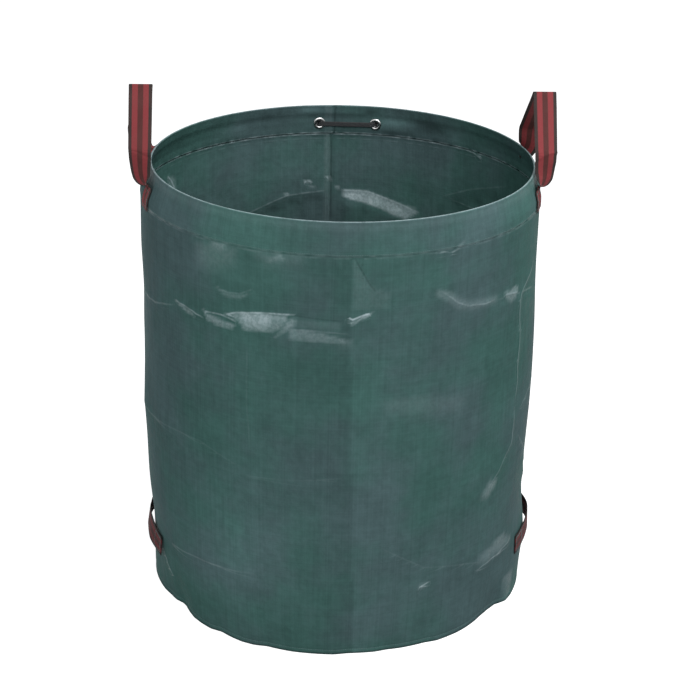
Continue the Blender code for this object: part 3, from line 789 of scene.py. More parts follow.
def weave_group():
    tree, given, out = group_of(
        "tape_weave",
        [("Cloth", "NodeSocketVector", None), ("Tape", "NodeSocketFloat", TAPE)],
        [("Height", "NodeSocketFloat"), ("Shade", "NodeSocketFloat")],
    )
    split = tree.nodes.new("ShaderNodeSeparateXYZ")
    tree.links.new(given["Cloth"], split.inputs[0])
    across = calc(tree, "DIVIDE", split.outputs[0], given["Tape"])
    up = calc(tree, "DIVIDE", split.outputs[1], given["Tape"])
    column, row = calc(tree, "FLOOR", across), calc(tree, "FLOOR", up)
    chequer = calc(tree, "FLOORED_MODULO", plus(tree, column, row), 2.0)
    crowns = []
    for place in (across, up):
        from_middle = times(tree, calc(tree, "SUBTRACT", calc(tree, "FRACT", place), 0.5), 2.0)
        steep = calc(tree, "POWER", calc(tree, "ABSOLUTE", from_middle), 4.0)
        crowns.append(calc(tree, "SUBTRACT", 1.0, steep))
    upright = times(tree, crowns[0], chequer)
    level = times(tree, crowns[1], calc(tree, "SUBTRACT", 1.0, chequer))
    tree.links.new(plus(tree, upright, level), out["Height"])
    shades = []
    for number, offset in ((column, 0.0), (row, APART)):
        dice = tree.nodes.new("ShaderNodeTexWhiteNoise")
        dice.noise_dimensions = "1D"
        tree.links.new(plus(tree, number, offset), dice.inputs["W"])
        shades.append(dice.outputs["Value"])
    tree.links.new(mixed(tree, *shades, 0.55), out["Shade"])
    return tree


weave = weave_group()
print("weave:", len(weave.nodes), "nodes,", TAPE * 1000, "mm tapes")

# %% [markdown]
# ### The mottle
#
# No finish is even: handling, dust and uneven coating leave broad patches and a fine grain. One
# group gives both, and each finish takes it at its own scale.

# %% Build the mottle group
def mottle_group():
    number = "NodeSocketFloat"
    tree, given, out = group_of(
        "coating_mottle",
        [("Place", "NodeSocketVector", None), ("Broad", number, 5.0), ("Fine", number, 60.0)],
        [("Patches", number), ("Grain", number), ("Height", number)],
    )
    patches = noise(tree, given["Place"], given["Broad"], 5.0, 0.55)
    grain = noise(tree, given["Place"], given["Fine"], 4.0, 0.6)
    tree.links.new(patches, out["Patches"])
    tree.links.new(grain, out["Grain"])
    tree.links.new(mixed(tree, patches, grain, 0.75), out["Height"])
    return tree


mottle = mottle_group()
print("mottle:", len(mottle.nodes), "nodes")

# %% [markdown]
# ### What every finish starts from
#
# A finish is a new material with its Principled shader. A pattern on cloth follows the UV map, and
# wear follows the object's own coordinates. Colours are darkened by a grey that varies over the
# surface, and small relief goes through a Bump node, one on top of another.

# %% Define how a finish is made
def new_finish(name):
    material = bpy.data.materials.new(name)
    material.use_nodes = True
    tree = material.node_tree
    return material, tree, tree.nodes["Principled BSDF"].inputs


def raised(tree, height, strength, distance, under=None):
    node = tree.nodes.new("ShaderNodeBump")
    node.inputs["Strength"].default_value = strength
    node.inputs["Distance"].default_value = distance
    tree.links.new(height, node.inputs["Height"])
    if under is not None:
        tree.links.new(under, node.inputs["Normal"])
    return node.outputs[0]


def along_cloth(tree):
    """The metres across and along the cloth, as one vector."""
    node = tree.nodes.new("ShaderNodeUVMap")
    node.uv_map = "cloth"
    return node.outputs[0]


def split_cloth(tree):
    """The metres across and along the cloth, one by one."""
    node = tree.nodes.new("ShaderNodeSeparateXYZ")
    tree.links.new(along_cloth(tree), node.inputs[0])
    return node.outputs[0], node.outputs[1]


def on_object(tree):
    return tree.nodes.new("ShaderNodeTexCoord").outputs["Object"]


def ridges(tree, place, pitch):
    """Round ribs, 0 in each groove and 1 on each crown."""
    return calc(tree, "ABSOLUTE", calc(tree, "SINE", times(tree, place, math.pi / pitch)))


def read_mark(tree, label):
    node = tree.nodes.new("ShaderNodeAttribute")
    node.attribute_name = label
    return node.outputs["Fac"]


def shaded(tree, colour, shade):
    """The colour times a grey."""
    grey = tree.nodes.new("ShaderNodeCombineColor")
    for socket in grey.inputs:
        tree.links.new(shade, socket)
    return blend_colours(tree, 1.0, colour, grey.outputs[0], "MULTIPLY")


def toned(tree, colour, tone):
    """The colour made lighter or darker by a share of itself."""
    return shaded(tree, colour, plus(tree, 1.0, tone))


print("bump distances are in metres, as the bag is")

# %% [markdown]
# ### Coated sheet
#
# The sheet's green and grey patches, the shade of each tape and long faint streaks make its colour.
# A crease has cracked the coating along its edge, so its pale line is partly worn through unevenly
# and partly a painted highlight, and a dark line is a painted shadow. A facet is a flat that mirrors
# the lamp, here as a painted highlight on a pale and slightly glossier area, and the tone patches
# paint light and shade. The line is drawn from the signed distance to it, so it stays thinner than
# the mesh's faces.

# %% Make the coated sheet
SHEET_GREEN, SHEET_GREY = (0.050, 0.116, 0.104, 1), (0.064, 0.108, 0.112, 1)
# The pale of whitened coating, also the colour of the painted highlights.
SHEET_PALE = (0.40, 0.50, 0.53, 1)
LINE_CORE, LINE_EDGE = 0.0006, 0.0024


def woven_sheet():
    material, tree, shader = new_finish("woven_sheet_cloth")
    cloth, place = along_cloth(tree), on_object(tree)
    tapes = use_group(tree, weave, Cloth=cloth, Tape=TAPE)
    patches = use_group(tree, mottle, Place=place, Broad=5.0, Fine=70.0)
    stretched = tree.nodes.new("ShaderNodeMapping")
    tree.links.new(cloth, stretched.inputs["Vector"])
    stretched.inputs["Scale"].default_value = (1.0, 0.06, 1.0)
    colour = blend_colours(tree, spread(tree, patches["Patches"], 0.36, 0.64), SHEET_GREEN, SHEET_GREY)
    colour = shaded(tree, colour, spread(tree, tapes["Shade"], 0.0, 1.0, 0.95, 1.06))
    streaks = noise(tree, stretched.outputs[0], 170.0)
    colour = shaded(tree, colour, spread(tree, streaks, 0.3, 0.7, 0.965, 1.035))
    colour = shaded(tree, colour, spread(tree, noise(tree, place, 13.0), 0.3, 0.7, 0.93, 1.07))
    # Painted light and shade: the tone patches, the fold's panels and the foot, which is partly its dark
    # seam.
    colour = toned(tree, colour, read_mark(tree, "tone"))
    off_line = calc(tree, "ABSOLUTE", read_mark(tree, "mark_side"))
    gain = read_mark(tree, "mark_gain")
    mark = times(tree, gain, spread(tree, off_line, LINE_CORE, LINE_EDGE, 1.0, 0.0))
    line = calc(tree, "MAXIMUM", mark, 0.0)
    # Crease lines below 0 darken the colour: a painted shadow.
    colour = toned(tree, colour, times(tree, calc(tree, "MINIMUM", mark, 0.0), 0.6))
    colour = shaded(tree, colour, spread(tree, patches["Grain"], 0.3, 0.7, 0.93, 1.07))
    broken = spread(tree, noise(tree, place, 190.0, 2.0), 0.36, 0.62, 0.66, 1.0)
    # Facets paint a highlight, broken up by fine noise.
    painted_highlight_and_gloss = times(tree, read_mark(tree, "painted_highlight_and_gloss"), broken)
    # The pale crease line: partly worn-through coating, partly a painted highlight.
    worn = times(tree, line, spread(tree, patches["Grain"], 0.35, 0.60, 0.35, 0.9))
    pale = calc(tree, "MINIMUM", plus(tree, worn, times(tree, painted_highlight_and_gloss, 0.72)), 0.85)
    colour = blend_colours(tree, pale, colour, SHEET_PALE)
    tree.links.new(colour, shader["Base Color"])
    dull = spread(tree, patches["Grain"], 0.3, 0.7, 0.42, 0.56)
    tree.links.new(calc(tree, "SUBTRACT", dull, times(tree, painted_highlight_and_gloss, 0.14)), shader["Roughness"])
    polished = times(tree, calc(tree, "MAXIMUM", painted_highlight_and_gloss, line), 0.5)
    tree.links.new(plus(tree, polished, 0.005), shader["Specular IOR Level"])
    crumple = raised(tree, patches["Height"], 0.45, 0.012)
    tent = times(tree, gain, spread(tree, off_line, 0.0, MARK_REACH, 1.0, 0.0))
    creased = raised(tree, tent, 0.8, 0.0022, crumple)
    tree.links.new(raised(tree, tapes["Height"], 0.35, 0.00022, creased), shader["Normal"])
    return material


SHEET_CLOTH = woven_sheet()
print("sheet finish:", len(SHEET_CLOTH.node_tree.nodes), "nodes")

# %% [markdown]
# ### Striped webbing
#
# The webbing is woven in red with a dark brown stripe down its middle and dark edges. A colour ramp
# across its width gives the stripes. Its ribs run across and its yarns run along; the grooves between
# them are painted darker and the crowns lighter, a painted shade and light. Fuzz lightens it in
# patches.

# %% Make the webbing
EDGE_YARN = (0.034, 0.028, 0.026, 1)
RED_YARN, BROWN_YARN = (0.232, 0.040, 0.044, 1), (0.080, 0.026, 0.024, 1)
FUZZ = (0.15, 0.060, 0.056, 1)
WEB_WIDTH, RIB, YARN = 0.040, 0.0019, 0.0013


def striped_webbing():
    material, tree, shader = new_finish("striped_webbing")
    across, along = split_cloth(tree)
    bands = tree.nodes.new("ShaderNodeValToRGB")
    tree.links.new(calc(tree, "DIVIDE", across, WEB_WIDTH), bands.inputs[0])
    bands.color_ramp.interpolation = "EASE"
    stops = [(0.0, EDGE_YARN), (0.13, EDGE_YARN), (0.17, RED_YARN), (0.36, RED_YARN), (0.40, BROWN_YARN)]
    stops += [(0.59, BROWN_YARN), (0.63, RED_YARN), (0.83, RED_YARN), (0.87, EDGE_YARN)]
    bands.color_ramp.elements[0].color = stops[0][1]
    bands.color_ramp.elements[1].position, bands.color_ramp.elements[1].color = stops[1]
    for position, colour in stops[2:]:
        bands.color_ramp.elements.new(position).color = colour
    cloth_height = mixed(tree, ridges(tree, along, RIB), ridges(tree, across, YARN), 0.65)
    # Painted shade in the grooves and painted light on the crowns of the ribs and yarns.
    colour = shaded(tree, bands.outputs[0], spread(tree, cloth_height, 0.0, 1.0, 0.55, 1.12))
    fuzz = use_group(tree, mottle, Place=on_object(tree), Broad=22.0, Fine=400.0)
    colour = blend_colours(tree, spread(tree, fuzz["Patches"], 0.4, 0.7, 0.0, 0.16), colour, FUZZ)
    colour = toned(tree, colour, read_mark(tree, "tone"))
    tree.links.new(colour, shader["Base Color"])
    tree.links.new(spread(tree, fuzz["Grain"], 0.3, 0.7, 0.62, 0.82), shader["Roughness"])
    shader["Specular IOR Level"].default_value = 0.12
    tree.links.new(raised(tree, cloth_height, 0.6, 0.0005), shader["Normal"])
    return material


WEBBING = striped_webbing()
print("webbing finish:", len(WEBBING.node_tree.nodes), "nodes")

# %% [markdown]
# ### Thread, steel and plastic
#
# The thread matches the sheet, the eyelets are plated steel and the hidden hoop is dark plastic.
# They differ only in their colours, their scale and how rough they are, so one function makes all.

# %% Make the three small finishes
def plain_finish(name, broad, fine, first, second, smooth, rough, relief=None, metal=0.0):
    """A mottled finish; relief gives the strength and depth of its grain."""
    material, tree, shader = new_finish(name)
    worn = use_group(tree, mottle, Place=on_object(tree), Broad=broad, Fine=fine)
    tree.links.new(blend_colours(tree, worn["Patches"], (*first, 1), (*second, 1)), shader["Base Color"])
    tree.links.new(spread(tree, worn["Grain"], 0.3, 0.7, smooth, rough), shader["Roughness"])
    shader["Metallic"].default_value = metal
    if relief:
        tree.links.new(raised(tree, worn["Grain"], *relief), shader["Normal"])
    return material


STITCH = plain_finish(
    "sewing_thread", 180.0, 2200.0, (0.060, 0.125, 0.120), (0.110, 0.185, 0.180),
    smooth=0.5, rough=0.75, relief=(0.5, 0.0002),
)
STEEL = plain_finish(
    "plated_steel", 120.0, 900.0, (0.45, 0.46, 0.46), (0.62, 0.63, 0.63),
    smooth=0.16, rough=0.34, relief=(0.15, 0.0001), metal=1.0,
)
PLASTIC = plain_finish(
    "moulded_plastic", 40.0, 600.0, (0.012, 0.012, 0.014), (0.026, 0.026, 0.028), smooth=0.35, rough=0.5
)
for name in ("rim_hoop", "hoop_sleeve"):
    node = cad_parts[name]
    node.data.materials.clear()
    node.data.materials.append(PLASTIC)
    print(name, "is", PLASTIC.name)

# %% [markdown]
# ### Black elastic
#
# Flat elastic has rubber threads along it that show as ribs, crossed by finer picks of yarn. The
# grooves are painted darker than the crowns, a painted shade.

# %% Make the elastic
ELASTIC_RIB, ELASTIC_PICK = 0.0011, 0.0008
# Painted shade: the groove black is darker than the crown black.
GROOVE_BLACK, CROWN_BLACK = (0.006, 0.007, 0.008, 1), (0.022, 0.025, 0.028, 1)


def ribbed_elastic():
    material, tree, shader = new_finish("ribbed_elastic")
    across, along = split_cloth(tree)
    height = mixed(tree, ridges(tree, across, ELASTIC_RIB), ridges(tree, along, ELASTIC_PICK), 0.7)
    tree.links.new(blend_colours(tree, height, GROOVE_BLACK, CROWN_BLACK), shader["Base Color"])
    fuzz = noise(tree, on_object(tree), 300.0)
    tree.links.new(spread(tree, fuzz, 0.3, 0.7, 0.5, 0.7), shader["Roughness"])
    tree.links.new(raised(tree, height, 0.6, 0.0004), shader["Normal"])
    return material


ELASTIC = ribbed_elastic()
print("elastic finish:", len(ELASTIC.node_tree.nodes), "nodes")

# %% [markdown]
# ## The wall
#
# One length of sheet goes round the bag and laps over its own start at the back, where two rows of
# stitches hold it. It is built as that: an open strip whose far end steps out over its near end.
# Its columns are even and its rows lie closer where the creases are. At the top it slips between
# the two layers of the hem, so the cloth has no gap when the bag is folded down and the hem sinks.
# Near the ground it bulges at the right and is pulled in at the left, as the folded base lets it.

# %% Say how far the wall stands out
MIDDLE = RIM - 0.0005
# degrees round the bag, and how far the sheet stands out there in millimetres
AT_THE_FOOT = [
    (-180, -1), (-172, -1.5), (-168, -2.5), (-164, -4), (-160, -6), (-156, -10), (-152, -12),
    (-149, -17.5), (-147, -17), (-144, -12.4), (-140, -6.9), (-136, -4.9), (-132, -3.8), (-128, -8),
    (-124, -4.5), (-120, -2), (-116, -2.4), (-112, -7), (-108, -5.5), (-104, -4.2), (-92, -3.8),
    (-88, -6.8), (-80, -6), (-76, -8), (-72, -6.2), (-64, -5), (-60, -0.5), (-52, -0.2), (-48, -1.6),
    (-44, -4), (-40, -6.8), (-36, -7.1), (-32, -5), (-28, 7), (-24, 8.5), (-16, 8), (-6, 6), (0, 4.5),
    (12, 2), (24, -2), (36, -5), (60, -8), (84, -5), (100, -8), (128, -6), (144, -8), (156, -4), (168, 0),
]
ABOVE_THE_FOOT = [
    (-180, -3.4), (-168, -3.8), (-144, -2.7), (-120, -0.9), (-96, 0.1), (-48, -0.7), (-36, 1.2), (-24, 6),
    (-12, 10), (0, 8), (12, 4), (24, 1.5), (48, 0), (132, 0), (156, -1), (168, -1.9),
]
# height, and how far the left side hangs out there
SAG = [(0.52, 0), (0.60, 0.0012), (0.68, 0.0040), (0.76, 0.0056), (0.79, 0.0060), (0.826, 0)]
SAG_MIDDLE, SAG_WIDE = 188, 32


def wall_rows():
    low = np.array([0.0, 0.002, 0.004, 0.006, 0.008, 0.010, 0.013, 0.017])
    rest = np.linspace(0.022, 0.604, 60)
    creased = np.linspace(0.608, 0.716, 28)
    top = np.linspace(0.722, 0.774, 9)
    tucked = np.array([0.778, 0.7813, TUCK_FROM, 0.7821, WALL_TOP])
    return np.concatenate([low, rest, creased, top, tucked])


def foot_pull(turn, height):
    """The base is cut and sewn by hand, so the wall's foot runs through corners, and bulges just above."""
    degrees = np.degrees(turn)
    low_down = np.interp(degrees, *np.transpose(AT_THE_FOOT), period=360) / 1000
    above = np.interp(degrees, *np.transpose(ABOVE_THE_FOOT), period=360) / 1000
    return low_down * bell(height, 0.05) + above * bell(height - 0.10, 0.065)


def side_sag(turn, height):
    """The left side hangs a little outside the hoop, which has been pressed towards the front there."""
    over = np.interp(height, *np.transpose(SAG))
    return over * bell(np.degrees(unwrapped(turn, math.pi)) - SAG_MIDDLE, SAG_WIDE)


def seam_groove(height):
    """The foot's sewn edge: a thin lip below a line of tight stitches."""
    return -0.0011 * bell(height - 0.0085, 0.0022) + 0.0007 * bell(height, 0.004)


def wall_offset(turn, height):
    """How far the wall stands off the bag's plan."""
    free = sheet_offset(turn, height) + foot_pull(turn, height)
    return free + side_sag(turn, height) + seam_groove(height)


def hem_dents(turn, height):
    low = np.clip((0.8255 - height) / 0.03, 0, 1)
    waves = slow_waves(turn, height, 23, 24, 0.00080, 26, 60)
    pucker = 0.00010 * np.sin(turn * 84) * bell(height - WALL_TOP, 0.006)
    return waves * low * np.clip((height - HEM_FOOT) / 0.012, 0.25, 1) + pucker


def hem_offset(turn, height):
    """How far the hem stands off its plan. Both its layers and what is sewn to it follow this."""
    return hem_dents(turn, height) + side_sag(turn, height)


print("wall rows:", len(wall_rows()), "the foot's outline has", len(AT_THE_FOOT), "places")

# %% [markdown]
# ### Round and over its own start
#
# The strip starts and ends at the back. Its last stretch ramps outwards by a little more than the
# sheet's own thickness and runs on over the start. At its top it sinks by a tuck, to lie between
# the hem's layers, and it takes on the hem's dents there.

# %% Sew the wall
SEAM = math.radians(91.5)
LAP = 0.012
LAP_RAMP = 0.020
LAP_STEP = 0.0006
WALL_COLUMNS = 426
TUCK = 0.00045


def sew_wall():
    full = 2 * math.pi
    ramp = LAP_RAMP / MIDDLE
    along = np.linspace(0, full - ramp, WALL_COLUMNS)
    rising = full - ramp + np.linspace(0, 1, 7)[1:] * ramp
    lapping = full + np.linspace(0, 1, 5)[1:] * LAP / MIDDLE
    turns = np.concatenate([along, rising, lapping])
    step = LAP_STEP * np.clip((turns - (full - ramp)) / ramp, 0, 1)
    turn, height = np.meshgrid(SEAM + turns, wall_rows(), indexing="ij")
    joins = np.clip((height - 0.768) / 0.013, 0, 1)
    tuck = np.clip((height - TUCK_FROM) / 0.0003, 0, 1)
    stands = wall_offset(turn, height) + hem_dents(turn, height) * joins - TUCK * tuck
    step = step[:, None] * (1 - 0.9 * tuck)
    points = on_bag(MIDDLE + step, turn, height) + outward(turn, height) * stands[..., None]
    cloth = np.stack([np.broadcast_to((turns * MIDDLE)[:, None], turn.shape), height], -1)
    wall = grid_piece("wall_sheet", points, cloth, marks=sheet_marks(turn, height))
    face_out(wall)
    wall.data.materials.append(SHEET_CLOTH)
    return thicken(wall, SHEET)


wall_sheet = sew_wall()
print("wall:", len(wall_sheet.data.polygons), "faces")

# %% [markdown]
# ## The hem
#
# The top of the sheet folds inwards over the springy hoop, a flat strip standing on edge, and is
# stitched 58 mm down. So the rim is a thin crisp fold, a little thicker at the back where the
# strip's ends share a sleeve. One profile goes round the bag. The layers share their small dents, so
# they never cut each other, and the foot puckers a little between the stitches.

# %% Draw the hem's profile and its marks
LAYER = 0.0009
CHANNEL = 0.0042
FOLD_FOOT = 0.8365
FOLD_RISE = 0.00325
INNER_DEPTH = 0.0024
FOLD_ROW = 20
HEM_LAP = math.radians(90.3)


def hem_profile():
    """Rows of (depth inwards, height, share of the sleeve's extra room), from the outer foot inwards."""
    rows = [(0, height, 0) for height in np.linspace(HEM_FOOT, 0.8265, 12)]
    rows += [(0, 0.8300, 0), (0, 0.8335, 0)]
    for i in range(13):
        turned = math.pi * i / 12
        share = (1 - math.cos(turned)) / 2
        rows.append((CHANNEL * share, FOLD_FOOT + FOLD_RISE * math.sin(turned), share))
    rows += [(CHANNEL, height, 1) for height in (0.8330, 0.8295, 0.8262)]
    for height in np.linspace(0.8262, HEM_FOOT, 17)[1:]:
        up = ease(np.clip((height - 0.8140) / 0.0122, 0, 1))
        down = ease(np.clip((0.7910 - height) / 0.009, 0, 1))
        rows.append((INNER_DEPTH + (CHANNEL - INNER_DEPTH) * up - (INNER_DEPTH - LAYER) * down, height, up))
    return np.array(rows)


def hem_marks(turn, height, walked, inner):
    """Painted light and shade on the hem: a pale crisp fold, partly whitened coating and partly a painted
    highlight; pale puckers of painted light along both feet, strongest inside; on the inside a dark painted
    shadow at the lap of the hem's own ends and a faint painted highlight over the wall's lap; and outside a
    painted highlight under the fold, a slanting painted streak and painted light to the sides of the front.
    """
    fold = walked[0, FOLD_ROW]
    feet = np.where(inner, walked[0, -1] - 0.0014, 0.0015)
    to_fold, to_foot = walked - fold, walked - feet
    near_fold = np.abs(to_fold) < np.abs(to_foot)
    pucker = 0.5 + 0.5 * puckers(turn) * np.sin(turn * 23 + 1)
    # The fold: partly whitened coating, partly a painted highlight. The feet: puckers of painted light,
    # strongest inside.
    strength = np.where(near_fold, 0.55, np.where(inner, 0.95, 0.20) * pucker)
    side = np.where(near_fold, to_fold, to_foot)
    # A dark line of painted shadow at the lap of the hem's own ends.
    off_lap = (unwrapped(turn, math.pi / 2) - HEM_LAP) * MIDDLE
    on_lap = inner & (np.abs(off_lap) < np.abs(side))
    side, strength = np.where(on_lap, off_lap, side), np.where(on_lap, -0.6, strength)
    # A faint painted highlight over the wall's lap, on the inner layer.
    off_seam = unwrapped(turn, math.pi / 2) - SEAM
    lap = (off_seam > 0) & (off_seam < LAP / MIDDLE) & inner
    # Painted highlight: a pale band just under the fold, outside.
    painted_rim_highlight = bell(walked - fold + 0.008, 0.009) * ~inner
    from_front = np.degrees(unwrapped(turn, -math.pi / 2)) + 90
    # Painted light: the outer layer lighter to both sides of the front.
    lighter = 0.28 * (1 - bell(from_front, 24)) * bell(from_front, 75)
    slanting = from_front - 30.4 - (height - WALL_TOP) * 180
    # Painted highlight: a fine slanting streak right of the front, near the outer foot.
    painted_streak_highlight = bell(slanting, 0.7) * bell(height - 0.787, 0.004) * ~inner
    return {
        "mark_side": np.clip(side, -MARK_REACH, MARK_REACH),
        "mark_gain": strength * near_mark(side),
        "painted_highlight_and_gloss": 0.10 * lap + 0.06 * painted_rim_highlight + 0.30 * painted_streak_highlight,
        "tone": np.where(inner, patches_of(turn, height, HEM_LIGHT_AND_SHADE_PATCHES), lighter),
    }


print("hem profile:", len(hem_profile()), "rows")

# %% [markdown]
# ### Fold, thicken and punch
#
# The profile is carried round the bag, with a little more room at the back for the hoop's sleeve.
# The eyelets' holes are cut through both layers with a round cutter, set in each eyelet's own frame.

# %% Fold the hem over the hoop
HEM_COLUMNS = 720
SLEEVE_ROOM = 0.0013
SLEEVE_HALF, SLEEVE_EASE = 10.8, 3
INNER_LAYER = MIDDLE - INNER_DEPTH
EYELET_TURNS = {"left": math.radians(95.42), "right": math.radians(76.78)}
EYELET_HEIGHT = HEIGHT - 0.037
EYELET_HOLE = 0.0073
CUTTER_REACH = 0.03


def eyelet_frame(side):
    """The eyelet's own frame: origin on the hem's inner face, +Z into the bag."""
    turn, height = EYELET_TURNS[side], EYELET_HEIGHT
    out = Vector(outward(np.array(turn), np.array(height)))
    across = Vector((0, 0, 1)).cross(-out)
    place = Vector(on_bag(INNER_LAYER - SHEET / 2, np.array(turn), np.array(height)))
    place += out * float(hem_offset(np.array(turn), np.array(height)))
    turned = Matrix((across, Vector((0, 0, 1)), -out)).transposed().to_4x4()
    return Matrix.Translation(place) @ turned


def round_cutter(radius, reach):
    mesh = bpy.data.meshes.new("cutter")
    with reshaping(mesh) as shape:
        bmesh.ops.create_cone(shape, cap_ends=True, segments=40, radius1=radius, radius2=radius, depth=reach)
    return link(mesh, "cutter")


def fold_hem():
    profile = hem_profile()
    turns = SEAM + 2 * math.pi * np.arange(HEM_COLUMNS) / HEM_COLUMNS
    turn = np.broadcast_to(turns[:, None], (HEM_COLUMNS, len(profile)))
    depth, height, room = (np.broadcast_to(profile[None, :, k], turn.shape) for k in range(3))
    off_sleeve = np.abs(np.degrees(unwrapped(turn, math.pi / 2)) - 90)
    at_sleeve = ease(np.clip((SLEEVE_HALF - off_sleeve) / SLEEVE_EASE, 0, 1))
    radius = MIDDLE - depth - SLEEVE_ROOM * room * at_sleeve
    points = on_bag(radius, turn, height) + outward(turn, height) * hem_offset(turn, height)[..., None]
    walked = np.concatenate([[0], np.cumsum(np.hypot(*np.diff(profile[:, :2], axis=0).T))])
    cloth = np.stack([turn * MIDDLE, np.broadcast_to(walked[None, :] + HEM_FOOT, turn.shape)], -1)
    inner = np.broadcast_to(np.arange(len(profile))[None, :] > FOLD_ROW, turn.shape)
    marks = hem_marks(turn, height, np.broadcast_to(walked, turn.shape), inner)
    hem = grid_piece("hem_sheet", points, cloth, 2 * math.pi * MIDDLE, marks)
    hem.data.materials.append(SHEET_CLOTH)
    if hem.data.polygons[3].normal.dot(Vector((*points[0, 3, :2], 0))) < 0:
        hem.data.flip_normals()
    thicken(hem, SHEET)
    for side in SIDES:
        cutter = round_cutter(EYELET_HOLE, CUTTER_REACH)
        cutter.matrix_world = eyelet_frame(side)
        hole = hem.modifiers.new("hole", "BOOLEAN")
        hole.operation, hole.solver, hole.object = "DIFFERENCE", "EXACT", cutter
        bake_modifiers(hem)
        bpy.data.objects.remove(cutter, do_unlink=True)
    return hem


hem_sheet = fold_hem()
print("hem:", len(hem_sheet.data.polygons), "faces")

# %% [markdown]
# ## The base
#
# The floor of the bag is its own sheet, cut oval, with its edge turned up inside the wall. It lies
# on the ground, so its crumples only rise, and they are lowest near the sewn edge.

# %% Lay the base
BASE_COLUMNS = 240
BASE_EDGE = MIDDLE - 0.0008
BASE_RISE = 0.0006
RIPPLE = 0.0022
# how far in from the edge, and height, up the turned-in edge
TURN_UP = [(0, 0.012), (0, 0.008), (0.0002, 0.0045), (0.0014, 0.0018), (0.0040, BASE_RISE)]


def lay_base():
    rings = [(BASE_EDGE - inwards, height) for inwards, height in TURN_UP]
    rings += [(radius, BASE_RISE) for radius in np.linspace(BASE_EDGE - 0.010, 0.004, 44)]
    ring = np.array(rings)
    turns = SEAM + 2 * math.pi * np.arange(BASE_COLUMNS) / BASE_COLUMNS
    turn = np.broadcast_to(turns[:, None], (BASE_COLUMNS, len(ring)))
    radius = np.broadcast_to(ring[None, :, 0], turn.shape)
    height = np.broadcast_to(ring[None, :, 1], turn.shape)
    points = on_bag(radius, turn, height)
    stands = wall_offset(turn, height) * np.clip(radius / BASE_EDGE, 0, 1) ** 3
    points += outward(turn, height) * stands[..., None]
    flat = np.clip((BASE_EDGE - 0.012 - radius) / 0.06, 0, 1) * np.clip(radius / 0.05, 0, 1)
    x, y = points[..., 0], points[..., 1]
    dice = np.random.default_rng(3)
    ripple = np.zeros(turn.shape)
    for _ in range(28):
        kx, ky = dice.normal(0, 22, 2)
        ripple += dice.uniform(0.3, 1) * np.sin(kx * x + ky * y + dice.uniform(0, 6.28))
    points[..., 2] += RIPPLE * np.abs(ripple / 3.2) ** 1.4 * flat
    base = grid_piece("base_sheet", points, points[..., :2], around=0.0)
    with reshaping(base.data) as shape:
        open_edges = [edge for edge in shape.edges if edge.is_boundary]
        pole = [edge for edge in open_edges if max(v.co.xy.length for v in edge.verts) < 0.02]
        bmesh.ops.contextual_create(shape, geom=pole)
        bmesh.ops.recalc_face_normals(shape, faces=shape.faces)
    if sum(p.normal.z * p.area for p in base.data.polygons) > 0:
        base.data.flip_normals()
    base.data.materials.append(SHEET_CLOTH)
    smooth_faces(base.data)
    return thicken(base, SHEET)


base_sheet = lay_base()
print("base:", len(base_sheet.data.polygons), "faces")

# %% [markdown]
# ## Straps
#
# Webbing and elastic are flat straps with rounded edges. A strap is swept through stations: the
# middle of the strap and the direction across it. A few key stations are enough, because a smooth
# curve runs through them. Its UV map runs across and along the webbing in metres.

# %% Define the strap helpers
def smooth_through(keys, step):
    """Dense rows on a smooth curve through key rows, whose first three numbers are a place."""
    keys = np.asarray(keys, float)
    lengths = np.linalg.norm(np.diff(keys[:, :3], axis=0), axis=1)
    slopes = np.gradient(keys, np.concatenate([[0], np.cumsum(lengths)]), axis=0)
    rows = []
    for i, length in enumerate(lengths):
        share = np.arange(max(2, math.ceil(length / step)))[:, None]
        share = share / len(share)
        square, cube = share**2, share**3
        rows.append(
            keys[i] * (2 * cube - 3 * square + 1)
            + keys[i + 1] * (3 * square - 2 * cube)
            + slopes[i] * length * (cube - 2 * square + share)
            + slopes[i + 1] * length * (cube - square)
        )
    return np.concatenate(rows + [keys[-1:]])


def unit(vectors):
    return vectors / np.linalg.norm(vectors, axis=-1, keepdims=True)


def close_ends(piece):
    with reshaping(piece.data) as shape:
        bmesh.ops.holes_fill(shape, edges=[edge for edge in shape.edges if edge.is_boundary])
        bmesh.ops.recalc_face_normals(shape, faces=shape.faces)
    return piece


def woven_strap(name, rows, width, thickness, finish, dent=None, tone=0.0):
    """A strap through rows of (place, direction across); dent(along, across) lifts it off its plane."""
    middle, across = rows[:, :3], unit(rows[:, 3:6])
    along = unit(np.gradient(middle, axis=0))
    normal = unit(np.cross(along, across))
    across = np.cross(normal, along)
    walked = np.concatenate([[0], np.cumsum(np.linalg.norm(np.diff(middle, axis=0), axis=1))])
    edge = thickness / 2
    flats = np.linspace(edge - width / 2, width / 2 - edge, 13)
    rounding = [(flats[-1] + edge * math.sin(t), edge * math.cos(t)) for t in (0.8, 1.57, 2.34)]
    half = np.array([(x, edge) for x in flats] + rounding)
    section = np.concatenate([half, -half])
    lift = np.zeros((len(section), len(rows)))
    if dent is not None:
        lift = dent(walked[None, :], section[:, :1])
    points = middle + section[:, :1, None] * across + (section[:, 1:, None] + lift[..., None]) * normal
    cloth = np.stack(np.broadcast_arrays(section[:, :1] + width / 2, walked[None, :]), -1)
    strap = close_ends(grid_piece(name, points, cloth, around=0.0, marks={"tone": tone}))
    strap.data.materials.append(finish)
    return strap


print("webbing:", WEB_WIDTH * 1000, "mm wide")

# %% [markdown]
# ### Stitches
#
# A row of stitches repeats one short arch of thread along a seam, so Geometry Nodes make it. The
# tree takes a path whose points know which way is out, spaces places along it, and sets one arched
# stitch on each, lying along the path and rising outwards.

# %% Build the stitching tree
ASKEW = 0.10


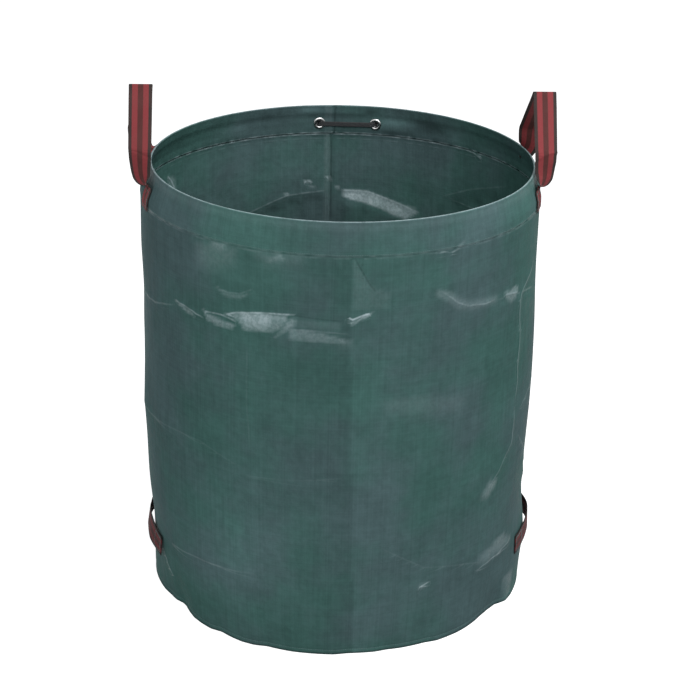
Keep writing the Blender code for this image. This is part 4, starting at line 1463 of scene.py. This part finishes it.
def stitching_tree():
    tree = bpy.data.node_groups.new("stitch_row", "GeometryNodeTree")
    inputs = {"Path": "Geometry", "Pitch": "Float", "Length": "Float", "Rise": "Float", "Thread": "Float"}
    inputs |= {"Seed": "Int", "Finish": "Material"}
    for label, kind in inputs.items():
        tree.interface.new_socket(label, in_out="INPUT", socket_type="NodeSocket" + kind)
    tree.interface.new_socket("Stitches", in_out="OUTPUT", socket_type="NodeSocketGeometry")
    given = tree.nodes.new("NodeGroupInput").outputs

    def add(kind, **links):
        node = tree.nodes.new(kind)
        for label, source in links.items():
            tree.links.new(source, node.inputs[label.replace("_", " ")])
        return node

    line = add("GeometryNodeMeshToCurve", Mesh=given["Path"])
    places = add("GeometryNodeResampleCurve", Curve=line.outputs[0])
    places.mode = "LENGTH"
    tree.links.new(given["Pitch"], places.inputs["Length"])
    out = add("GeometryNodeInputNamedAttribute")
    out.data_type = "FLOAT_VECTOR"
    out.inputs["Name"].default_value = "out"
    along = add("FunctionNodeAlignRotationToVector", Vector=add("GeometryNodeInputTangent").outputs[0])
    along.axis = "X"
    ways_out = out.outputs["Attribute"]
    upright = add("FunctionNodeAlignRotationToVector", Rotation=along.outputs[0], Vector=ways_out)
    upright.axis, upright.pivot_axis = "Z", "X"
    askew = add("FunctionNodeRandomValue", Seed=given["Seed"])
    askew.data_type = "FLOAT_VECTOR"
    askew.inputs[0].default_value, askew.inputs[1].default_value = (0, 0, -ASKEW), (0, 0, ASKEW)
    turned = add("FunctionNodeRotateRotation", Rotation=upright.outputs[0])
    turned.rotation_space = "LOCAL"
    tree.links.new(askew.outputs[0], turned.inputs["Rotate By"])
    arch = add("GeometryNodeCurveQuadraticBezier")
    arch.inputs["Resolution"].default_value = 5
    for label, share, height in (("Start", -0.5, -0.6), ("Middle", 0.0, 2.4), ("End", 0.5, -0.6)):
        along_it, above_it = times(tree, given["Length"], share), times(tree, given["Rise"], height)
        corner = add("ShaderNodeCombineXYZ", X=along_it, Z=above_it)
        tree.links.new(corner.outputs[0], arch.inputs[label])
    round_thread = add("GeometryNodeCurvePrimitiveCircle", Radius=times(tree, given["Thread"], 0.5))
    round_thread.inputs["Resolution"].default_value = 6
    stitch = add("GeometryNodeCurveToMesh", Curve=arch.outputs[0], Profile_Curve=round_thread.outputs[0])
    stitch.inputs["Fill Caps"].default_value = True
    row = add("GeometryNodeInstanceOnPoints", Points=places.outputs[0], Instance=stitch.outputs[0])
    tree.links.new(turned.outputs[0], row.inputs["Rotation"])
    solid = add("GeometryNodeRealizeInstances", Geometry=row.outputs[0])
    painted = add("GeometryNodeSetMaterial", Geometry=solid.outputs[0], Material=given["Finish"])
    tree.links.new(painted.outputs[0], tree.nodes.new("NodeGroupOutput").inputs[0])
    return tree


stitch_row = stitching_tree()
print("stitching tree:", len(stitch_row.nodes), "nodes")

# %% [markdown]
# ### From paths to thread
#
# A row's path is a mesh of points and edges that carries the way out at each point. The tree's
# inputs are set by their identifiers, and then the result is baked into a plain mesh.

# %% Define how rows are sewn
STITCH_SEED = 1


def sew_rows(name, paths, pitch=0.0036, length=0.0030, rise=0.00035, thread=0.0007):
    """Stitches along paths, each (points, ways out, whether it closes), as one plain mesh."""
    points, outs, edges = [], [], []
    for line, out, closed in paths:
        first = len(points)
        points += [tuple(point) for point in line]
        outs += [tuple(way) for way in out]
        edges += [(i, i + 1) for i in range(first, len(points) - 1)]
        if closed:
            edges.append((len(points) - 1, first))
    mesh = bpy.data.meshes.new(name)
    mesh.from_pydata(points, edges, [])
    way = mesh.attributes.new("out", "FLOAT_VECTOR", "POINT")
    way.data.foreach_set("vector", np.array(outs, np.float32).ravel())
    piece = link(mesh, name)
    modifier = piece.modifiers.new("stitches", "NODES")
    modifier.node_group = stitch_row
    chosen = {"Pitch": pitch, "Length": length, "Rise": rise, "Thread": thread}
    chosen |= {"Seed": STITCH_SEED, "Finish": STITCH}
    for item in stitch_row.interface.items_tree:
        if item.name in chosen:
            modifier[item.identifier] = chosen[item.name]
    bake_modifiers(piece)
    smooth_faces(piece.data)
    return piece


def stitched_box(corners, place_at):
    """A closed row through four corners; place_at gives the place and the way out at each point."""
    line, outs = [], []
    for (ax, ay), (bx, by) in zip(corners, corners[1:] + corners[:1]):
        for share in np.arange(6) / 6:
            place, out = place_at(ax + (bx - ax) * share, ay + (by - ay) * share)
            line.append(place)
            outs.append(out)
    return line, outs, True


print("stitches are made of", STITCH.name)

# %% [markdown]
# ### Seams of the bag
#
# Three seams hold the bag together: the hem's, the base's, and two rows up the lapped back. Each
# path runs just above the outer face of its sheet and follows the sheet's dents.

# %% Stitch the bag's seams
HEM_ROW, BASE_ROW = HEM_FOOT + 0.004, 0.008
SEAM_ROWS = (0.003, 0.009)
SEAM_FROM, SEAM_TO = 0.014, 0.772


def ring_path(height, offset):
    turn = SEAM + 2 * math.pi * np.arange(HEM_COLUMNS) / HEM_COLUMNS
    level = np.full(turn.shape, height)
    out = outward(turn, level)
    return on_bag(MIDDLE, turn, level) + out * (offset(turn, level) + SHEET / 2)[:, None], out, True


def seam_path(across, side):
    """Up the back seam; side is 1 on the outside and -1 inside."""
    height = np.linspace(SEAM_FROM, SEAM_TO, 260)
    turn = np.full(height.shape, SEAM + across / MIDDLE)
    out = outward(turn, height)
    stand = wall_offset(turn, height) + side * SHEET / 2
    if side > 0:
        stand = stand + LAP_STEP
    return on_bag(MIDDLE, turn, height) + out * stand[:, None], out * side, False


hem_stitches = sew_rows("hem_stitches", [ring_path(HEM_ROW, hem_offset)], rise=0.0002, thread=0.0005)
base_stitches = sew_rows("base_stitches", [ring_path(BASE_ROW, wall_offset)], pitch=0.0042, length=0.0034)
back_rows = [seam_path(across, side) for across in SEAM_ROWS for side in (1, -1)]
back_stitches = sew_rows("back_seam_stitches", back_rows)
for piece in (hem_stitches, base_stitches, back_stitches):
    print(piece.name, len(piece.data.polygons), "faces")

# %% [markdown]
# ## Eyelets
#
# An eyelet is a rolled metal ring with a barrel. It is pushed through the hem from the inside and
# curled over a washer outside. Both are turned shapes: an outline spun round the eyelet's axis.

# %% Spin the eyelets and washers
STACK = INNER_DEPTH + SHEET
SPIN_STEPS = 48
# radius and height above the hem's inner face; STACK is how far below it the outer face lies
EYELET = [
    (0.0062, -STACK - 0.0013), (0.0062, 0.0006), (0.0066, 0.0012), (0.0074, 0.0017), (0.0086, 0.0019),
    (0.0100, 0.0017), (0.0112, 0.0012), (0.0119, 0.0006), (0.0120, 0.0002), (0.0116, 0.0001),
    (0.0072, 0.0001), (0.0070, -0.0001), (0.0070, -STACK - 0.0009), (0.0076, -STACK - 0.0013),
    (0.0088, -STACK - 0.0012), (0.0090, -STACK - 0.0016), (0.0086, -STACK - 0.0020),
    (0.0074, -STACK - 0.0022), (0.0066, -STACK - 0.0020),
]
WASHER = [
    (0.0073, -STACK - 0.0003), (0.0100, -STACK - 0.0002), (0.0119, -STACK - 0.0001),
    (0.0120, -STACK - 0.0005), (0.0116, -STACK - 0.0009), (0.0098, -STACK - 0.0011),
    (0.0073, -STACK - 0.0011),
]


def spun(name, outline, place, finish):
    """A closed outline of (radius, height) turned about the Z axis of its place."""
    count = len(outline)
    points = []
    for i in range(SPIN_STEPS):
        turned = 2 * math.pi * i / SPIN_STEPS
        points += [(radius * math.cos(turned), radius * math.sin(turned), up) for radius, up in outline]
    faces = []
    for i in range(SPIN_STEPS):
        for k in range(count):
            a, b = i * count + k, (i + 1) % SPIN_STEPS * count + k
            onwards = 1 if k < count - 1 else 1 - count
            faces.append((a, b, b + onwards, a + onwards))
    mesh = bpy.data.meshes.new(name)
    mesh.from_pydata(points, [], faces)
    mesh.transform(place)
    with reshaping(mesh) as shape:
        bmesh.ops.recalc_face_normals(shape, faces=shape.faces)
    mesh.materials.append(finish)
    mesh.shade_smooth()
    mesh.set_sharp_from_angle(angle=math.radians(50))
    return link(mesh, name)


for side in SIDES:
    eyelet = spun(f"{side}_eyelet", EYELET, eyelet_frame(side), STEEL)
    washer = spun(f"{side}_washer", WASHER, eyelet_frame(side), STEEL)
    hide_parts(f"eyelet_{side}")
    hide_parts(f"washer_{side}")
    for piece in (eyelet, washer):
        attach(piece, "rim")
print("hem under the eyelets:", round(STACK * 1000, 2), "mm")

# %% [markdown]
# ## The closing band
#
# A flat black elastic runs straight across the back of the rim, out through both eyelets, and is
# knotted behind each so that it can't slip back. The knot is a trefoil, the path that a simple
# overhand knot takes when it is pulled tight, with a short cut end.

# %% Thread the band and tie its knots
BAND_WIDTH, BAND = 0.0095, 0.0016
EYELETS_APART = 0.1085
SEAT = 0.00082
OFF_MIDDLE, BEND_ROUND = 0.0020, 0.0025
KNOT_AT = -0.0113
KNOT_SPREAD, KNOT_DEPTH = 0.0019, 0.0026
KNOT_CORD, TAIL_CORD = 0.0027, 0.0022


def round_tube(name, path, radius, sides, finish, squeeze=1.0, capped=True):
    """A tube along an open path of points, or a closed one when capped is False."""
    path = np.asarray(path)
    if capped:
        along = unit(np.gradient(path, axis=0))
    else:
        along = unit(np.roll(path, -1, 0) - np.roll(path, 1, 0))
    side = unit(np.cross(along, (0.31, 0.17, 0.93)))
    up = np.cross(side, along)
    turns = 2 * math.pi * np.arange(sides) / sides
    ring = radius * (np.cos(turns)[:, None, None] * side + squeeze * np.sin(turns)[:, None, None] * up)
    points = path + ring
    walked = np.arange(len(path)) * radius / 2
    cloth = np.stack(np.broadcast_arrays((turns * radius)[:, None], walked[None, :]), -1)
    if not capped:
        points = np.concatenate([points, points[:, :1]], 1)
        cloth = np.concatenate([cloth, cloth[:, -1:] + (0, radius / 2)], 1)
    tube = grid_piece(name, points, cloth, around=2 * math.pi * radius)
    if capped:
        close_ends(tube)
    else:
        with reshaping(tube.data) as shape:
            bmesh.ops.remove_doubles(shape, verts=shape.verts, dist=1e-6)
            bmesh.ops.recalc_face_normals(shape, faces=shape.faces)
    tube.data.materials.append(finish)
    return tube


def tie_knot(side):
    at = eyelet_frame(side)
    turns = 2 * math.pi * np.arange(96) / 96
    x, y = np.sin(turns) + 2 * np.sin(2 * turns), np.cos(turns) - 2 * np.cos(2 * turns)
    deep = KNOT_AT - KNOT_DEPTH * np.sin(3 * turns)
    path = np.stack([KNOT_SPREAD * x, KNOT_SPREAD * y, deep], -1)
    knot = round_tube(f"{side}_knot", path, KNOT_CORD, 12, ELASTIC, 0.8, capped=False)
    tail = np.linspace((0.001, 0.000, KNOT_AT - 0.001), (0.0035, -0.011, KNOT_AT + 0.0005), 8)
    end = round_tube(f"{side}_knot_end", tail, TAIL_CORD, 12, ELASTIC, 0.55)
    for piece in (knot, end):
        piece.data.transform(at)
    return [knot, end]


def band_rows():
    """Key rows from one knot through its eyelet, across the rim and out to the other knot."""
    bend = math.pi / 2 - math.asin(EYELETS_APART / 2 / RIM)
    keys = {}
    for side, towards in (("left", 1), ("right", -1)):
        at = eyelet_frame(side)
        places = [(OFF_MIDDLE, deep) for deep in (KNOT_AT, -0.0060, -0.0020)]
        for i in range(6):
            turned = bend * i / 5
            off = OFF_MIDDLE + BEND_ROUND * (1 - math.cos(turned))
            places.append((off, SEAT + BEND_ROUND * math.sin(turned)))
        keys[side] = [[*(at @ Vector((towards * across, 0, deep))), 0, 0, 1] for across, deep in places]
    between = np.linspace(keys["left"][-1], keys["right"][-1], 5)[1:-1].tolist()
    return smooth_through(keys["left"] + between + keys["right"][::-1], 0.002)


def join_pieces(pieces):
    """One object from several plain meshes."""
    first = pieces[0]
    bpy.ops.object.select_all(action="DESELECT")
    for piece in pieces:
        piece.select_set(True)
    bpy.context.view_layer.objects.active = first
    bpy.ops.object.join()
    return first


band = woven_strap("closing_elastic", band_rows(), BAND_WIDTH, BAND, ELASTIC)
band = join_pieces([band] + tie_knot("left") + tie_knot("right"))
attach(band, "rim")
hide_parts("closing_band")
print("band:", len(band.data.polygons), "faces")

# %% [markdown]
# ## The top handles
#
# Each handle is one strap of striped webbing. Both its ends are sewn flat on the hem, then twist by
# a quarter so that the strap stands edge-on to the rim. The legs rise to a kink, lean together and
# meet in a sharp fold, all left in the webbing by the packet.

# %% Place the sewn ends
WEB = 0.0016
HANDLE_TURN = math.radians(17.5)
SEWN_TOP, SEWN_FOOT = 0.8155, 0.779
ABOVE_HEM = 0.0009
BOX_INSET = 0.005


def on_hem(turn, height, lift):
    turn, height = np.array(turn), np.array(height)
    stand = hem_offset(turn, height) + SHEET / 2 + lift
    return on_bag(MIDDLE, turn, height) + outward(turn, height) * stand


def corner_ways(side, end):
    return (-1 if side == "left" else 1), (-1 if end == "front" else 1)


def sewn_frame(side, end, height):
    """Where a strap's sewn end crosses this height on the hem: its place, across and outwards."""
    x_way, y_way = corner_ways(side, end)
    turn = math.atan2(y_way * math.sin(HANDLE_TURN), x_way * math.cos(HANDLE_TURN))
    out = outward(np.array(turn), np.array(height))
    across = np.array((-out[1], out[0], 0.0)) * (-x_way * y_way)
    return on_hem(turn, height, WEB / 2 + ABOVE_HEM), across, out


def hem_box(side, end):
    """The stitched rectangle on one sewn end of a top strap."""
    def place_at(along_width, height):
        place, across, out = sewn_frame(side, end, height)
        return place + across * along_width + out * WEB / 2, out

    wide = WEB_WIDTH / 2 - BOX_INSET
    low, high = SEWN_FOOT + BOX_INSET, SEWN_TOP - BOX_INSET
    return stitched_box([(-wide, low), (wide, low), (wide, high), (-wide, high)], place_at)


print("sewn ends:", round((SEWN_TOP - SEWN_FOOT) * 1000, 1), "mm tall")

# %% [markdown]
# ### Half a handle
#
# A half runs from a sewn end to the middle of the fold. While it twists it has to clear the hem, so
# its place is blended from just outside the hem to where it stands upright. The front and the rear
# leg lean differently, and the left handle stands higher than the right one, as in the photo.

# %% Draw half a handle
UPRIGHT_X, UPRIGHT_Y = 0.3456, 0.0953
KINK, KINK_PUSH = 0.876, 0.010
KNEE_TURN = 0.80
FOLD_TOP = {"left": 0.9632, "right": 0.9562}
FOLD_ROUND = 0.003
LEG_IN = {"left": {"front": 0.0034, "rear": -0.0175}, "right": {"front": 0.0072, "rear": 0.0020}}
# height, share of the way from just clear of the hem to the upright place, share of the quarter turn
TWIST = {
    "left": [
        (0.8170, 0, 0.06), (0.8190, 0.05, 0.15), (0.8215, 0.15, 0.25), (0.8250, 0.3, 0.35),
        (0.8300, 0.5, 0.45), (0.8380, 0.8, 0.55), (0.8480, 1, 0.64), (0.8600, 1, 0.75),
    ],
    "right": [
        (0.8170, 0, 0.06), (0.8190, 0.05, 0.14), (0.8215, 0.1, 0.24), (0.8250, 0.2, 0.33),
        (0.8300, 0.4, 0.42), (0.8380, 0.8, 0.56), (0.8480, 1, 0.68), (0.8600, 1, 0.78),
    ],
}


def hem_reach(side, y, height):
    """How far out a strap's middle lies where it just clears the hem, at this y and height."""
    turn, height = np.array(math.asin(y / RIM)), np.array(height)
    own = math.pi - turn if side == "left" else turn
    return float(on_bag(RIM + 0.0018 + hem_offset(own, height), turn, height)[0])


def half_handle(side, end):
    """Key rows from a sewn foot up to the fold's middle."""
    x_way, y_way = corner_ways(side, end)
    keys = []
    for height in (*np.linspace(SEWN_FOOT, SEWN_TOP - 0.0006, 8), SEWN_TOP - 0.0003, SEWN_TOP):
        place, across, _ = sewn_frame(side, end, height)
        keys.append(np.concatenate([place, across]))
    start, flat = keys[-1][:3], keys[-1][3:]
    radial = np.array((x_way, 0.0, 0.0))
    stand_x = UPRIGHT_X - LEG_IN[side][end]
    push = KINK_PUSH if end == "front" else 0.0

    def twisted(share):
        return flat * math.cos(math.pi / 2 * share) + radial * math.sin(math.pi / 2 * share)

    for height, out, turn in TWIST[side]:
        out = out if end == "front" else out**0.4
        across = twisted(turn)
        y = start[1] + (y_way * UPRIGHT_Y - start[1]) * out
        clear = hem_reach(side, y - across[1] * WEB_WIDTH / 2, height) + abs(across[0]) * WEB_WIDTH / 2
        place = np.array((x_way * (clear + (stand_x - clear) * out), y, height))
        keys.append(np.concatenate([place, across]))
    knee_x = stand_x if end == "front" else UPRIGHT_X + (stand_x - UPRIGHT_X) * 0.75
    knee = np.array((x_way * knee_x, y_way * (UPRIGHT_Y * 0.86 + push), KINK))
    centre = np.array((x_way * UPRIGHT_X, 0.0, FOLD_TOP[side] - FOLD_ROUND))
    lean = math.atan2(abs(knee[1]), centre[2] - KINK)
    last = centre + FOLD_ROUND * np.array((0, y_way * math.sin(lean), math.cos(lean)))
    for share in (0, 0.05, 0.15, 0.35, 0.6, 0.8, 0.95):
        turn = min(KNEE_TURN + share * (1 - KNEE_TURN) / 0.8, 1)
        keys.append(np.concatenate([knee + (last - knee) * share, twisted(turn)]))
    for i in range(5):
        turn = lean * (1 - i / 4)
        place = centre + FOLD_ROUND * np.array((0, y_way * math.sin(turn), math.cos(turn)))
        keys.append(np.concatenate([place, radial]))
    return keys


def kink_dent(along, across):
    """The crease at the kink, which runs down towards the bag."""
    return -0.0012 * bell(along - 0.099 - 0.4 * across, 0.0018)


print("key rows in half a handle:", len(half_handle("left", "front")))

# %% [markdown]
# ### Both handles
#
# The rear half is walked backwards, so that one strap runs from sewn end to sewn end.

# %% Sweep the top handles
straps, strap_boxes = {}, {}
for side in SIDES:
    keys = half_handle(side, "front") + half_handle(side, "rear")[-2::-1]
    rows = smooth_through(keys, 0.0015)
    strap = woven_strap(f"{side}_handle_strap", rows, WEB_WIDTH, WEB, WEBBING, kink_dent)
    stitches = sew_rows(f"{side}_handle_stitches", [hem_box(side, end) for end in ENDS])
    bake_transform(strap)
    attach(stitches, "rim")
    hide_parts(f"{side}_handle_loop", f"{side}_handle_front_end", f"{side}_handle_rear_end")
    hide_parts(f"{side}_handle_front_stitching", f"{side}_handle_rear_stitching")
    straps[side], strap_boxes[side] = strap, stitches
    print(side, "strap:", len(strap.data.polygons), "faces")

# %% [markdown]
# ## The lower handles
#
# A shorter strap lies level across each side, near the ground, to tip the bag out. It is sewn at
# both ends and bows out a little in the middle, so fingers fit behind it. It is set off the wall far
# enough for the folded wall as well, and its webbing is painted darker, a painted shade low on the bag.

# %% Sweep the lower handles
LOWER_HEIGHT = 0.110
LOWER_SPAN, LOWER_SEWN = 0.250, 0.040
LOWER_BOW = {"left": 0.004, "right": 0.009}
# the strap's half width without its round edge, and its gap to the wall
LOWER_FLAT, LOWER_GAP = 0.019, 0.0006
# Painted shade: the lower straps' webbing is darkened by this share.
LOWER_STRAP_SHADE = -0.55
FOLDED = 0.2324


def lower_frame(side, across, bow=0.0):
    """The strap's place at a distance from its middle, with the ways up along the wall and outwards.

    It clears the wall as it stands, and as it is when the rim is pushed down and the wall is folded.
    """
    turn = across / (RIM * (1 - SLUMP / RIM))
    turn = math.pi - turn if side == "left" else turn
    off = np.linspace(-LOWER_FLAT, LOWER_FLAT, 7)
    turns, heights = np.full(7, turn), LOWER_HEIGHT + off
    out = outward(np.array(turn), np.array(LOWER_HEIGHT))
    stands = wall_offset(turns, heights)
    moved = on_bag(MIDDLE, turns, heights / FOLDED) - on_bag(MIDDLE, turns, heights)
    folded = moved @ out + wall_offset(turns, heights / FOLDED)
    needed = np.maximum(stands, folded)
    slope, level = np.polyfit(off, needed, 1)
    level += (needed - level - slope * off).max()
    stand = LOWER_GAP + WEB / 2 + bow + level
    place = on_bag(RIM, np.array(turn), np.array(LOWER_HEIGHT)) + out * stand
    return place, np.array((0, 0, 1)) + out * slope, out


def lower_box(side, way):
    """The stitched rectangle on one sewn end of a lower strap."""
    def place_at(across, rise):
        place, up, out = lower_frame(side, way * across)
        return place + up * rise + out * WEB / 2, out

    near, far = LOWER_SPAN / 2 - LOWER_SEWN + BOX_INSET, LOWER_SPAN / 2 - BOX_INSET
    high = WEB_WIDTH / 2 - BOX_INSET
    return stitched_box([(near, -high), (far, -high), (far, high), (near, high)], place_at)


for side in SIDES:
    keys = []
    inner = LOWER_SPAN / 2 - LOWER_SEWN
    for across in np.linspace(-LOWER_SPAN / 2, LOWER_SPAN / 2, 41):
        bow = LOWER_BOW[side] * math.cos(math.pi / 2 * min(abs(across) / inner, 1)) ** 2
        place, up, _ = lower_frame(side, across, bow=bow)
        keys.append(np.concatenate([place, up]))
    rows = smooth_through(keys, 0.004)
    strap = woven_strap(f"lower_{side}_strap", rows, WEB_WIDTH, WEB, WEBBING, tone=LOWER_STRAP_SHADE)
    stitches = sew_rows(f"lower_{side}_stitches", [lower_box(side, -1), lower_box(side, 1)])
    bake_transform(strap)
    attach(stitches, "base")
    name = f"lower_{side}_handle_"
    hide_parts(name + "loop", name + "front_end", name + "rear_end")
    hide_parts(name + "front_stitching", name + "rear_stitching")
    straps["lower_" + side], strap_boxes["lower_" + side] = strap, stitches
    print("lower", side, "strap:", len(strap.data.polygons), "faces")

# %% [markdown]
# ## What rides on what
#
# The hem and the eyelets, band and stitches sewn to it ride on the rim. The base and the whole wall
# stay on the ground with the base; the real sheet folds down in between when the rim is pushed to the
# base.

# %% Tie the pieces to the bodies
for piece, body, slot, nodes in (
    (wall_sheet, "base", "woven_sheet", ["wall_panel"]),
    (base_sheet, "base", "woven_sheet", ["base_panel"]),
    (hem_sheet, "rim", "woven_sheet", ["rim_hem"]),
    (hem_stitches, "rim", "thread", ["hem_thread"]),
    (base_stitches, "base", "thread", ["base_seam_thread"]),
    (back_stitches, "base", "thread", ["back_seam_thread"]),
):
    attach(piece, body)
    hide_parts(*nodes)
for piece in (wall_sheet, back_stitches):
    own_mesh(piece)

print("straps:", ", ".join(straps))
